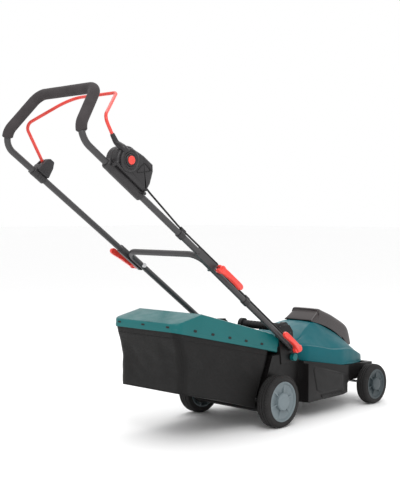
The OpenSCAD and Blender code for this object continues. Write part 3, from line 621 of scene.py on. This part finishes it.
def make_grip():
    upper = [(-391.9, UPPER_HALF, 612.4), (-871.5, UPPER_HALF, 949), (-760, 133, 1090),
             (-760, -133, 1090), (-871.5, -UPPER_HALF, 949), (-391.9, -UPPER_HALF, 612.4)]
    path = resample(rounded_path(upper, [53.5, 38, 38, 53.5], 3), 4)
    path = [p for p in path if p.z > 957]

    def radius(t, s, total):
        wave = 0.25 * noise.noise(Vector((s * 0.02, 3.1, 0)))
        return 16.4 - 2.6 * pinch(s, total, 3.5) + wave

    bm = bmesh.new()
    rows = sweep(bm, path, radius, 32, caps=False)
    for row, towards in ((rows[0], rows[1]), (rows[-1], rows[-2])):
        centre = sum((v.co for v in row), Vector()) / len(row)
        inner = [bm.verts.new(centre + (v.co - centre) * (10.1 / 13.8)) for v in row]
        grid_faces(bm, [row, inner], close_columns=True)
    grip = piece("grip_foam_sleeve", bm, "foam", "upper_handle", 50, ("foam_grip",))


# ---- lofted covers

def spline(rows, x):
    """Values at x on a smooth curve through rows of [x, value, ...], in order of x."""
    i = 0
    while i < len(rows) - 2 and x > rows[i + 1][0]:
        i += 1
    low, high = rows[i], rows[i + 1]
    step = high[0] - low[0]
    t = min(1, max(0, (x - low[0]) / step))

    def slope(j, k, chord):
        if j <= 0 or j >= len(rows) - 1:
            return chord
        left, right = ((b[k] - a[k]) / (b[0] - a[0])
                       for a, b in (rows[j - 1:j + 1], rows[j:j + 2]))
        return 0 if left * right <= 0 else 2 * left * right / (left + right)

    out = []
    for k in range(1, len(low)):
        chord = (high[k] - low[k]) / step
        out.append((2 * t**3 - 3 * t**2 + 1) * low[k]
                   + (t**3 - 2 * t**2 + t) * step * slope(i, k, chord)
                   + (3 * t**2 - 2 * t**3) * high[k]
                   + (t**3 - t**2) * step * slope(i + 1, k, chord))
    return out


def thicken(obj, thickness):
    """A wall of that many millimetres, grown inwards from the surface."""
    solid = obj.modifiers.new("wall", "SOLIDIFY")
    solid.thickness = thickness / 1000
    solid.offset = -1
    return obj


def mirrored(half):
    """A whole section, right rim to left rim, from the half of it given centre first."""
    return [(-y, z) for y, z in reversed(half)] + [(y, z) for y, z in half if y > 0]


# Sections of the motor cover: x, crease (y, z), upper edge (y, z) and rim z
COVER = [
    (163, 128, 258, 96, 266, 208.5), (182, 152, 257.5, 106, 271, 204.5),
    (200, 163.5, 256, 110, 277, 201), (261, 167, 246, 93, 299, 190.5),
    (326, 169, 232, 72, 317, 179), (355, 169.5, 227, 66, 321, 174),
    (394, 170, 224, 64, 312, 167.5), (457, 160, 219, 63, 288, 161.5),
    (520, 146, 204, 62, 259, 156.5), (570, 131, 188, 60, 222, 153.5),
    (610, 112, 176, 50, 189, 152), (632, 90, 168.5, 34, 172.5, 151),
    (640, 80, 164, 28, 166, 150.5),
]
BAY_X, BAY_HALF = (394, 540), 46
KEY_X, KEY_HALF = (547.5, 558.5), 2.5
BAY_TOP = 0.2195        # the bay's upper edge, in metres


def cover_half(x):
    yc, zc, ye, ze, zb = spline(COVER, x)
    crown = 2.4
    half = [(y, ze + crown * (1 - (y / ye) ** 2))
            for y in (0, KEY_HALF, 12, 22, 34, BAY_HALF) if y < ye - 4]
    half += [(ye - 3, ze + 0.1)] * (7 - len(half))       # so that every section has as many points
    half += [(ye - 1, ze - 0.5), (ye + 1.2, ze - 1.9), (ye + 3.6, ze - 4.2)]
    # The hood's side comes down to a narrow ledge above the crease
    ledge = min(13, 0.35 * (yc - ye))
    slope = Vector((yc - ledge - ye, zc + 0.42 * ledge - ze))
    for t in (0.2, 0.4, 0.6, 0.8, 0.97):
        p, bulge = Vector((ye, ze)) + slope * t, 0.8 * sin(pi * t)
        half.append((p.x + bulge, p.y + bulge))
    drop = zc - 5 - zb
    return half + [
        (yc - ledge + 1, zc + 0.3 * ledge), (yc - 2.4, zc + 0.9), (yc - 0.6, zc - 0.5),
        (yc - 0.1, zc - 5), (yc + 0.4, zc - 5 - drop * 0.35), (yc + 0.2, zc - 5 - drop * 0.7),
        (yc - 0.6, zb + 5), (yc + 1.2, zb + 3.4), (yc + 1.4, zb)]


def make_cover():
    cuts = BAY_X + KEY_X
    xs = sorted({163, 165, 168, 173, 179, 186, 194, *range(200, 640, 7), *cuts,
                 632, 636, 639, 640})
    xs = [x for x in xs if x in cuts or min(abs(x - e) for e in cuts) > 2]
    bm = bmesh.new()
    rows = [[bm.verts.new(mm(x, y, z)) for y, z in mirrored(cover_half(x))] for x in xs]
    # Upright walls close both ends, down to the rim
    for end, rim in ((0, 208.5), (-1, 150.5)):
        flat = [bm.verts.new((v.co.x, v.co.y, min(v.co.z, rim / 1000))) for v in rows[end]]
        rows.insert(0 if end == 0 else len(rows), flat)
    # Two openings in the top, for the battery and for the key
    holes = []
    for i in range(len(rows) - 1):
        for j in range(len(rows[0]) - 1):
            corners = (rows[i][j], rows[i][j + 1], rows[i + 1][j + 1], rows[i + 1][j])
            middle = sum((v.co for v in corners), Vector()) / 4
            x, y = 1000 * (middle.x - AX), abs(1000 * middle.y)
            opening = (BAY_X[0] < x < BAY_X[1] and y < BAY_HALF
                       or KEY_X[0] < x < KEY_X[1] and y < KEY_HALF)
            if middle.z > 0.2 and opening:
                holes.append(corners)
            else:
                bm.faces.new(corners)
    # The walls of the openings reach down into the bay
    sides, low = {}, {}
    for corners in holes:
        for a, b in zip(corners, corners[1:] + corners[:1]):
            key = frozenset((a, b))
            sides[key] = None if key in sides else (a, b)
    for a, b in filter(None, sides.values()):
        for v in (a, b):
            if v not in low:
                low[v] = bm.verts.new((v.co.x, v.co.y, BAY_TOP))
        bm.faces.new((a, b, low[b], low[a]))
    bmesh.ops.remove_doubles(bm, verts=bm.verts, dist=1e-5)
    # The shell takes the darker copy of the teal plastic, which is painted shade
    thicken(piece("motor_cover_shell", bm, "teal_cover", "chassis", 26, ("motor_cover",)), 3)


# The battery lid: lower and upper edge (x, z) of each row from rear to front, and across each
# row (y, share of the way from the lower edge to the upper one)
LID_ROWS = [
    ((350, 325), (352, 328)), ((362, 321.8), (366, 337.5)), ((376, 317.5), (382, 347.5)),
    ((388, 314), (396, 357)), ((391, 313.2), (396.4, 360)), ((394, 312.4), (394.4, 364)),
    ((398, 311), (396.6, 367)), ((403, 309.6), (402, 368.6)), ((409, 307.6), (409, 367.2)),
    ((420, 304.6), (421, 362.5)), ((435, 299.5), (436, 357)), ((470, 285.5), (480, 341)),
    ((500, 270.5), (522, 322)), ((530, 255), (560, 303.5)), ((548, 246), (581, 290.5)),
    ((558, 239.5), (592.5, 279)), ((566, 231), (601, 263)), ((572, 223), (608.5, 243)),
    ((577, 216.5), (614.5, 223)), ((580, 212), (617, 212)),
]
LID_SECTION = [
    (65.6, 0), (65.4, 0.06), (65, 0.25), (64.3, 0.5), (63.3, 0.72), (62.2, 0.84), (60.4, 0.925),
    (57.8, 0.972), (54, 0.993), (46, 1), (30, 1.004), (15, 1.006), (0, 1.007),
]


def make_battery_lid():
    flat = [(i, *low, *top) for i, (low, top) in enumerate(LID_ROWS)]
    bm = bmesh.new()
    rows = []
    for k in range(3 * (len(LID_ROWS) - 1) + 1):
        sx, sz, tx, tz = spline(flat, k / 3)
        half = [(y, Vector((sx + (tx - sx) * w, sz + (tz - sz) * w))) for y, w in LID_SECTION]
        section = half + [(-y, p) for y, p in reversed(half[:-1])]
        rows.append([bm.verts.new(mm(p.x, y, p.y)) for y, p in section])
    grid_faces(bm, rows)
    thicken(piece("battery_lid_shell", bm, "smoked", "battery_cover", 40, ("battery_lid",)), 3)
    for k, y in enumerate((-42, 24)):
        bm = bmesh.new()
        sweep(bm, [(622, y, 205), (622, y + 1, 205), (622, y + 17, 205), (622, y + 18, 205)],
              lambda t, s, n: 6 - 0.8 * (s < 0.5 or n - s < 0.5), 28)
        # The arm from the knuckle to the lid
        corners = [[bm.verts.new(mm(x, y + e, z)) for e in (0.6, 17.4)]
                   for x, z in ((612, 224), (616, 222), (627.5, 208), (617, 206))]
        for a, b in zip(corners, corners[1:] + corners[:1]):
            bm.faces.new((a[0], b[0], b[1], a[1]))
        for e in (0, 1):
            bm.faces.new([c[e] for c in corners])
        piece(f"battery_lid_knuckle_{k}", bm, "smoked", "battery_cover", 40)


# ---- grass bag

def lid_skirt(x):
    """Height of the lower edge of the bag's lid."""
    return 362 - (x + 459) * (362 - 251.5) / (36 + 459)


def plate(name, centre, across, up, out, width, height, depth):
    """A pill-shaped plate with a chamfered face, on the bag's lid at centre."""
    bm = bmesh.new()
    across, up, out = (Vector(v).normalized() for v in (across, up, out))
    r = 0.45 * min(width, height)
    rows = []
    for shrink, d in ((0, 0), (0, depth * 0.6), (0.6, depth)):
        row = []
        for k in range(24):
            a = tau * k / 24
            cx = (width / 2 - r) * (1 if cos(a) >= 0 else -1) + (r - shrink) * cos(a)
            cy = (height / 2 - r) * (1 if sin(a) >= 0 else -1) + (r - shrink) * sin(a)
            row.append(bm.verts.new(mm(*(Vector(centre) + across * cx + up * cy + out * d))))
        rows.append(row)
    capped(bm, rows)
    piece(name, bm, "black", "grass_bag", 30)


def make_bag_hooks():
    for side, name in ((-1, "right"), (1, "left")):
        for k, x in enumerate((-372, -290, -208, -126, -44)):
            plate(f"bag_hook_{name}_{k}", (x, side * 149.2, lid_skirt(x) + 18), (1, 0, -0.2232),
                  (0.2232, 0, 1), (0, side, 0), 15, 8, 1.1)
    for k, y in enumerate((-112, 0, 112)):
        plate(f"bag_hook_rear_{k}", (-458.2, y, 377.5), (0, 1, 0), (0, 0, 1), (-1, 0, 0),
              15, 6, 1.0)


BAG_HALF, BAG_CORNER = 146.3, 27
BAG_SIDE, BAG_ARC, BAG_REAR = 46, 12, 24      # points along each side, corner and the rear


def bag_plan():
    """Points round the bag, as (share of the way back, y, outward x, outward y)."""
    inner = BAG_HALF - BAG_CORNER
    left = [(k / BAG_SIDE, BAG_HALF, 0, 1) for k in range(BAG_SIDE)]
    for k in range(BAG_ARC + 1):
        a = pi / 2 * k / BAG_ARC
        left.append((1, inner + BAG_CORNER * cos(a), -sin(a), cos(a)))
    rear = [(1, inner * (1 - 2 * k / BAG_REAR), -1, 0) for k in range(1, BAG_REAR)]
    return left + rear + [(s, -y, nx, -ny) for s, y, nx, ny in reversed(left)]


def bag_front(v):
    return -3.5 - 78 * smooth_step(v, -0.25, 1.1) if v > 0 else -3.5


def bag_rear(v):
    return -454.5 + 27 * v + 13 * sin(pi * min(1, v * 1.06)) ** 1.3


def bag_bottom(x):
    return along_profile([(-455, 172), (-427, 166), (-350, 147), (-257, 124.5), (-158, 96),
                          (-81, 72.5), (0, 60)], x)


def bag_point(s, y, nx, ny, v):
    """A point of the bag's cloth, v from its hem down to its bottom seam."""
    front, rear = bag_front(v), bag_rear(v)
    x = front + (rear + BAG_CORNER - front) * s + (BAG_CORNER * nx if s == 1 else 0)
    top, low = lid_skirt(x) + 1.5, bag_bottom(x)
    z = top + (low - top) * v
    swell = sin(pi * v)
    wave = noise.noise(Vector((x * 0.011, y * 0.016, z * 0.02)))
    crease = noise.noise(Vector((x * 0.03 + z * 0.035, y * 0.03, z * 0.012 - x * 0.006)))
    depth = swell * (-4.5 * sin(pi * min(1, s)) + 3.4 * wave + 2.2 * crease)
    tuck = -0.8 * exp(-((v - 0.02) / 0.05) ** 2)       # drawn in under the hem
    flow = depth + tuck
    return Vector((x + nx * flow, y + ny * flow, z))


def make_bag_cloth():
    levels = [0, 0.02, 0.05, 0.09] + [0.09 + 0.88 * k / 30 for k in range(1, 31)] + [0.985, 1]
    plan = bag_plan()
    bm = bmesh.new()
    rows = [[bm.verts.new(mm(*bag_point(*p, v))) for p in plan] for v in levels]
    grid_faces(bm, rows)
    # Bottom: rows across from the left edge to the right edge, sagging between them
    edge, across = rows[-1], 20
    half = len(edge) // 2
    grid = []
    for i in range(half):
        shares = [k / across for k in range(1, across)]
        row = span(bm, edge[i], edge[-1 - i], shares)
        for t, v in zip(shares, row[1:]):
            back = min(1, max(0, (1000 * (v.co.x - AX) + 440) / 360))
            v.co.z -= 0.004 * sin(pi * t) * sin(pi * back)
        grid.append(row)
    grid_faces(bm, grid)
    for a, b in zip(grid[-1], grid[-1][1:]):
        bm.faces.new((a, b, edge[half]))
    # Front wall, round the mouth
    shares = [0.04, 0.08, 0.117, 0.25, 0.4, 0.5, 0.6, 0.75, 0.883, 0.92, 0.96]
    fronts = [span(bm, row[0], row[-1], shares) for row in rows]
    for upper, lower in zip(fronts, fronts[1:]):
        for j in range(len(upper) - 1):
            middle = (upper[j].co + lower[j + 1].co) / 2
            if not (0.104 < middle.z < 0.232 and abs(middle.y) < 0.112):
                bm.faces.new((upper[j], upper[j + 1], lower[j + 1], lower[j]))
    bmesh.ops.remove_doubles(bm, verts=bm.verts, dist=2e-5)
    bmesh.ops.delete(bm, geom=[v for v in bm.verts if not v.link_faces], context="VERTS")
    area = sum(f.calc_area() for f in bm.faces)
    cloth = piece("bag_cloth", bm, "fabric", "grass_bag", 60, ("bag_fabric",))
    thicken(cloth, 1.2)

    seams = {
        "hem": [bag_point(*p, 0.012) for p in plan],
        "hem_lower": [bag_point(*p, 0.1) for p in plan],
        "bottom_piping": [bag_point(*p, 0.995) for p in plan],
    }
    for name, first, corner in (("left", 0, BAG_SIDE + BAG_ARC // 2),
                                ("right", -1, -1 - (BAG_SIDE + BAG_ARC // 2))):
        seams[f"corner_seam_{name}"] = [bag_point(*plan[corner], v) for v in levels[4:]]
        seams[f"front_piping_{name}"] = [bag_point(*plan[first], v) for v in levels]
    trims = [swept(f"bag_{name}", path, 1.6 if "piping" in name else 0.8, 8,
                   "trim", "grass_bag", 50) for name, path in seams.items()]


def make_lid_shell():
    """The bag's lid: upright walls with rounded edges round a folded top."""
    ridge = [(-459, 387), (-337, 411), (14, 317), (48, 297)]
    half, corner, rear, front = 150, 32, -459, 48
    side_x = sorted({*range(front, front - 480, -12), -337, -333, -341, 14, 10, 18}, reverse=True)
    plan = [(x, half, 0, 1) for x in side_x if x > rear + corner + 2]
    for k in range(13):
        a = pi / 2 * k / 12
        plan.append((rear + corner - corner * sin(a),
                     half - corner + corner * cos(a), -sin(a), cos(a)))
    back = [(rear, (half - corner) * (1 - 2 * k / 24), -1, 0) for k in range(1, 24)]
    plan += back + [(x, -y, nx, -ny) for x, y, nx, ny in reversed(plan)]
    # Each level of the wall: its inset, if it hangs from the ridge or stands on the skirt, its rise
    levels = [(3.0, 0, 0.5), (3.0, 0, 0), (0.8, 0, -0.2), (0, 0, 1.2), (0, 0, 10), (0.8, 0, 11.5),
              (0.8, 1, -5.2), (1.2, 1, -3.4), (2.2, 1, -1.8), (3.8, 1, -0.7), (6.2, 1, 0)]
    bm = bmesh.new()
    rows = []
    for inset, at_ridge, rise in levels:
        row = []
        for x, y, nx, ny in plan:
            px, py = x - nx * inset, y - ny * inset
            z = along_profile(ridge, px) if at_ridge else lid_skirt(x)
            row.append(bm.verts.new(mm(px, py, z + rise)))
        rows.append(row)
    grid_faces(bm, rows)
    edge = rows[-1]
    middle = len(edge) // 2
    grid = [span(bm, edge[i], edge[-1 - i], [k / 12 for k in range(1, 12)]) for i in range(middle)]
    grid_faces(bm, grid)
    for a, b in zip(grid[-1], grid[-1][1:]):
        bm.faces.new((a, b, edge[middle]))
    # The front edge leans back under the lid
    for row in rows:
        for v in (row[0], row[-1]):
            v.co.x -= 0.012 * (1 - min(1, max(0, (1000 * v.co.z - 251) / 46)))
    for upper, lower in zip(rows[1:], rows[2:]):
        bm.faces.new((upper[0], upper[-1], lower[-1], lower[0]))
    bmesh.ops.remove_doubles(bm, verts=bm.verts, dist=1e-5)
    thicken(piece("bag_lid_shell", bm, "teal", "grass_bag", 24, ("bag_lid",)), 2.6)


# ---- handles

HANDLE_DIR = Vector((-561.5, 394)).normalized()
HANDLE_UP = Vector((HANDLE_DIR.y, -HANDLE_DIR.x))
MID, DECK, BAIL = Vector((-310, 555)), Vector((100, 262)), Vector((-705, 882))
BAIL_FOOT = MID + (BAIL - MID).dot(HANDLE_DIR) * HANDLE_DIR
TUBE_DIR = (MID - DECK).normalized()
TUBE_UP = Vector((TUBE_DIR.y, -TUBE_DIR.x))
MID_PIN, DECK_PIN = 201.9, 191.4          # ends of the hinge pins, from the middle plane


def on_handle(u, n, y):
    """A point u along the upper handle's leg from the bail's foot, and n above its line."""
    p = BAIL_FOOT + u * HANDLE_DIR + n * HANDLE_UP
    return Vector((p.x, y, p.y))


def on_leg(s, n, y):
    """A point s along the lower handle's leg from the deck's bolt, and n above its line."""
    p = DECK + s * TUBE_DIR + n * TUBE_UP
    return Vector((p.x, y, p.y))


def rounded_loop(points, radius):
    """Points round a closed outline with each corner turned into an arc."""
    pts = [Vector((a, b, 0)) for a, b in points]
    start = (pts[0] + pts[1]) / 2
    path = rounded_path([start] + pts[1:] + [pts[0], start], [radius] * len(pts), 15)
    return [(p.x, p.y) for p in resample(path, 3.5)[:-1]]


def stacked(name, outline, layers, material, body, angle=40, replaces=(), place=on_handle):
    """A piece with an outline of (u, n) points, stacked in layers of (y, inset)."""
    n = len(outline)
    turning = sum(a[0] * b[1] - b[0] * a[1] for a, b in zip(outline, outline[1:] + outline[:1]))
    sign = 1 if turning > 0 else -1
    inward = []
    for i in range(n):
        d = (Vector(outline[(i + 2) % n]) - Vector(outline[i - 2])).normalized()
        inward.append(Vector((-d.y, d.x)) * sign)
    bm = bmesh.new()
    capped(bm, [[bm.verts.new(mm(*place(p[0] + q.x * inset, p[1] + q.y * inset, y)))
                 for p, q in zip(outline, inward)] for y, inset in layers])
    return piece(name, bm, material, body, angle, replaces)


def make_switch_box():
    hub = [(42 * cos(a), 41 + 42 * sin(a))
           for a in (radians(-38 + 12 * k) for k in range(12))]
    outline = rounded_loop([(-108, 6), (32, 6)] + hub
                           + [(-40, 90), (-85, 91), (-98, 74), (-109, 36)], 5)
    stacked("switch_box_shell", outline,
            [(-152.5, 5), (-154, 2), (-157, 0.4), (-160, 0), (-178.6, 0), (-179, 0.9),
             (-180, 0.9), (-180.4, 0), (-198, 0), (-202, 1), (-205, 3.2), (-206.6, 6.4),
             (-207, 9)],
            "clamp", "upper_handle", 42, ("switch_housing", "switch_cover"))

    def sleeve(t, s, length):
        ribs = 0.5 - 0.5 * cos(s * tau / 6) if s < 30 else 0
        return 16.2 - 3.6 * pinch(s, length, 3.5) - ribs
    swept("switch_box_sleeve", [on_handle(47 - 1.5 * k, -0.5, -UPPER_HALF) for k in range(110)],
          sleeve, 36, "clamp", "upper_handle")
    # Rim of the three-cornered recess on the outer face
    stacked("switch_box_panel", rounded_loop([(-38, 22), (-52, 74), (-92, 70)], 5),
            [(-206.2, 0), (-208, 0.2), (-208.6, 1.2), (-208.2, 2.4), (-206.9, 3)],
            "black", "upper_handle")
    for k, (u, n) in enumerate(((36, -2), (-102, 12))):
        ring(f"switch_box_screw_{k}", [(-207, 0.4), (-208.4, 1.6), (-208.4, 3.6), (-207.4, 4.4),
                                       (-203, 4.4), (-203, 0.4)],
             on_handle(u, n, 0).xz, 24, "clamp", "upper_handle", 40)
    # Hub of the bail's lever: a domed ring with a fine knurl
    ring("bail_lever_hub",
         [(-207.6, 19), (-207.6, 33), (-209, 34), (-212.5, 34), (-214.6, 33), (-216, 30.5),
          (-216.4, 27.6), (-215.4, 26.6), (-215.4, 25), (-217, 24), (-217, 20.4), (-216, 19)],
         BAIL, 264, "clamp", "bail", 40, ("bail_lever",),
         lambda i, t, y, r: (y, r + (0.5 * sin(t * 44) if r > 33 else 0)))
    arm = (Vector((-775, 1002)) - BAIL).normalized()
    points = [(BAIL.x + arm.x * d, y, BAIL.y + arm.y * d)
              for d, y in ((25, -212.4), (40, -208), (56, -187), (86, -185))]
    swept("bail_lever_socket", resample(rounded_path(points, [14, 14], 8), 2),
          lambda t, s, n: 10.6 - 3.8 * t - 1.4 * (1 - smooth_step(n - s, 0, 3)), 28,
          "clamp", "bail")
    # Button in its dark bezel
    ring("lock_bezel", [(-216.8, 13.2), (-219, 13.3), (-219.8, 13.9), (-219.5, 15), (-218, 15.8),
                        (-216.8, 17.8), (-210, 17.8), (-210, 13.2)],
         BAIL, 64, "clamp", "upper_handle")
    ring("lock_button_cap",
         [(-195, 0.3), (-195, 12.8), (-219, 12.8), (-221, 12.2), (-222.2, 11), (-222.6, 9),
          (-222.2, 6), (-221.8, 3), (-221.7, 0.3)],
         BAIL, 96, "red", "lock", replaces=("lock_button",))


def make_left_bracket():
    swept("bail_bracket_sleeve", [on_handle(30 - 1.5 * k, 0, UPPER_HALF) for k in range(37)],
          lambda t, s, n: 14.6 - 2.6 * pinch(s, n, 3) - 0.9 * (20 < s < 22.5 or 33 < s < 35.5),
          32, "clamp", "upper_handle", replaces=("bail_bracket",))
    ear = rounded_loop([(24, 4), (22, 22), (13, 54), (5, 60), (-12, 60), (-20, 40), (-23, 4)], 4)
    for name, y0, y1 in (("inner", 158, 178.6), ("outer", 191.4, 200)):
        stacked(f"bail_bracket_{name}", ear,
                [(y0, 2.4), (y0 + 0.8, 0.7), (y0 + 2.4, 0), (y1 - 2.4, 0), (y1 - 0.8, 0.7),
                 (y1, 2.4)], "clamp", "upper_handle")
    stacked("bail_bracket_web", rounded_loop([(24, 4), (22, 30), (-21, 30), (-23, 4)], 4),
            [(172, 2), (173, 0), (197, 0), (198, 2)], "clamp", "upper_handle")


# Across a lever: (share of its half-width, share of its height)
LEVER_SECTION = [
    (-1, 0), (-1, 0.5), (-0.95, 0.76), (-0.82, 0.93), (-0.6, 1), (-0.42, 0.985), (-0.36, 0.93),
    (0.36, 0.93), (0.42, 0.985), (0.6, 1), (0.82, 0.93), (0.95, 0.76), (1, 0.5), (1, 0)]


def make_lever(end, side, pivot, direction, length, pin):
    """A thick arched lever with a round boss over its hinge pin."""
    body, sign = f"{end}_lever_{side}", 1 if side == "left" else -1
    d = Vector(direction).normalized()
    across = Vector((d.y, -d.x))
    tip, bm = length - 10, bmesh.new()
    stations = [-13, -12.6, -11.6, -10, -7, -3, 0, 4, 7.5, 10, 12]
    stations += [12 + (length - 22) * k / 16 for k in range(1, 17)]
    stations += [tip + 4, tip + 7, tip + 8.8, tip + 9.7, tip + 10]
    rows = []
    for s in stations:
        if s < 8:
            width = sqrt(max(0.3, 169 - s * s))
        elif s <= tip:
            width = 9.4 + 0.9 * cos((s - 8) / (tip - 8) * tau)
        else:
            width = 10.3 * sqrt(max(0.004, 1 - ((s - tip) / 10.3) ** 2))
        arch = 5.5 * sin(pi * min(1, max(0, s / length)))
        # The underside stays clear of the bolt near the hinge
        top, low = 11.4 + arch, 5.6 - (4.4 - 0.45 * arch) * smooth_step(s, 5.5, 12)
        shrink = 1 if width > 3 else 0.82
        row = []
        for t, f in LEVER_SECTION:
            p = pivot + d * s + across * (t * width)
            y = pin + low + (top - low) * f * shrink
            row.append(bm.verts.new(mm(p.x, sign * y, p.y)))
        rows.append(row)
    capped(bm, rows)
    refined(f"cam_lever_{end}_{side}", "red", 1.2)
    piece(f"lever_{end}_{side}_grip", bm, "red", body, 40)
    y0, y1 = pin + 11, pin + 12.6
    ring(f"lever_{end}_{side}_boss",
         [(sign * y, r) for y, r in ((y0, 0.3), (y0, 8.4), (y1 - 0.4, 8.4), (y1, 7.6), (y1, 4.2),
                                     (y1 - 0.8, 3.4), (y1 - 0.8, 0.3))], pivot, 40, "red", body)


def make_lever_drum(side, pivot, direction, pin):
    """The round cam under a deck lever's hinged end."""
    sign = 1 if side == "left" else -1
    d = Vector(direction).normalized()
    profile = [(-8, 0.3), (-8, 11.4), (-7, 12.4), (5, 12.6), (6.6, 11.6), (7, 9.6), (6.2, 8.8),
               (6.2, 0.3)]
    ring(f"lever_deck_{side}_drum", [(sign * (pin + y), r) for y, r in profile],
         pivot + 3 * d - 6.5 * Vector((d.y, -d.x)), 48, "red", f"deck_lever_{side}")


def make_levers():
    deck_dir = (-81, 59)
    make_lever_drum("left", DECK, deck_dir, DECK_PIN)
    make_lever_drum("right", DECK, deck_dir, DECK_PIN)
    make_lever("mid", "left", MID, (-100, 54), 114, MID_PIN)
    make_lever("mid", "right", MID, -HANDLE_DIR, 114, MID_PIN)
    make_lever("deck", "left", DECK, deck_dir, 102, DECK_PIN)
    make_lever("deck", "right", DECK, deck_dir, 102, DECK_PIN)


# ---- deck and small mouldings

def make_flank_panels():
    """The raised panels on the flanks of the deck, with a fold along the foot."""
    upper = rounded_loop([(192, 187), (322, 151), (375, 137), (375, 84), (250, 84), (216, 96)], 9)
    lower = rounded_loop([(236, 79), (375, 79), (375, 65), (248, 65)], 4)
    layers = [(186, 0), (190.2, 0), (191.4, 0.7), (192, 2.2), (192.2, 6)]
    for side, name in ((1, "left"), (-1, "right")):
        for part, loop in (("panel", upper), ("foot", lower)):
            stacked(f"deck_flank_{part}_{name}", loop, [(side * y, inset) for y, inset in layers],
                    "deck", "chassis", 30, place=lambda u, n, y: Vector((u, y, n)))


def make_carry_grip():
    """Ribbed sleeve of the carry handle's bar."""
    def radius(t, s, n):
        rib = 0.5 - 0.5 * cos(tau * s / 15)
        return 14.6 - 3.4 * pinch(s, n, 5) - 1.7 * smooth_step(rib, 0.72, 0.9)
    swept("carry_handle_sleeve", [(140, y * 1.5 - 95, 322) for y in range(128)], radius, 36,
          "black", "chassis")


def make_mouldings():
    make_flank_panels()
    make_carry_grip()
    refined("deck_shell", "deck", 1.6, 32)
    for node, material, width in (
            ("handle_bracket_left", "deck", 2), ("handle_bracket_right", "deck", 2),
            ("carry_handle", "black", 1.6), ("rear_flap", "deck", 1), ("battery_bay", "black", 0.8),
            ("battery_pack", "black", 1.6), ("safety_key", "red", 1), ("cover_lug", "teal", 1.6),
            ("blade_carrier", "black", 0.6), ("lower_cable_clip", "clamp", 0.8),
            ("upper_cable_clip", "clamp", 0.8), ("mower_blade", "blade", 0.5)):
        refined(node, material, width)


# ---- cable

CABLE_R = 3


def smooth_curve(points, steps=10):
    """A Catmull-Rom curve through points."""
    p = [Vector(q) for q in points]
    p = [2 * p[0] - p[1]] + p + [2 * p[-1] - p[-2]]
    out = []
    for a, b, c, d in zip(p, p[1:], p[2:], p[3:]):
        for k in range(steps):
            t = k / steps
            out.append(0.5 * (2 * b + (c - a) * t + (2 * a - 5 * b + 4 * c - d) * t**2
                              + (3 * b - a - 3 * c + d) * t**3))
    return out + [p[-2]]


def make_cables():
    """The cable's stretches over the two folding joints."""
    a, b = on_handle(-486, 17, -UPPER_HALF), on_leg(472, 14.5, -LOWER_HALF)
    middle = (a + b) / 2 + Vector((3, -1, 4))
    path = smooth_curve([a, on_handle(-494, 17.4, -179), middle, on_leg(480, 15, -165.5), b])
    over = swept("cable_over_upper_joint", path, CABLE_R, 14, "cable", None, 60)
    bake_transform(over)
    c, d = on_leg(62, 14.5, -LOWER_HALF), Vector((126, -143, 302))
    path = smooth_curve([c, c + Vector((9, 0, -6)), (88, -160, 303), (106, -152, 313),
                         (119, -145.5, 312), d, d + Vector((1.2, 1.1, -3.6))])
    over = swept("cable_over_deck_joint", path, CABLE_R, 14, "cable", None, 60)
    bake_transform(over)


make_camera()
make_studio()
make_materials()
finish_cad_nodes()
make_wheels()
make_grip()
make_cover()
make_battery_lid()
make_bag_hooks()
make_bag_cloth()
make_lid_shell()
make_switch_box()
make_left_bracket()
make_levers()
make_mouldings()
make_cables()
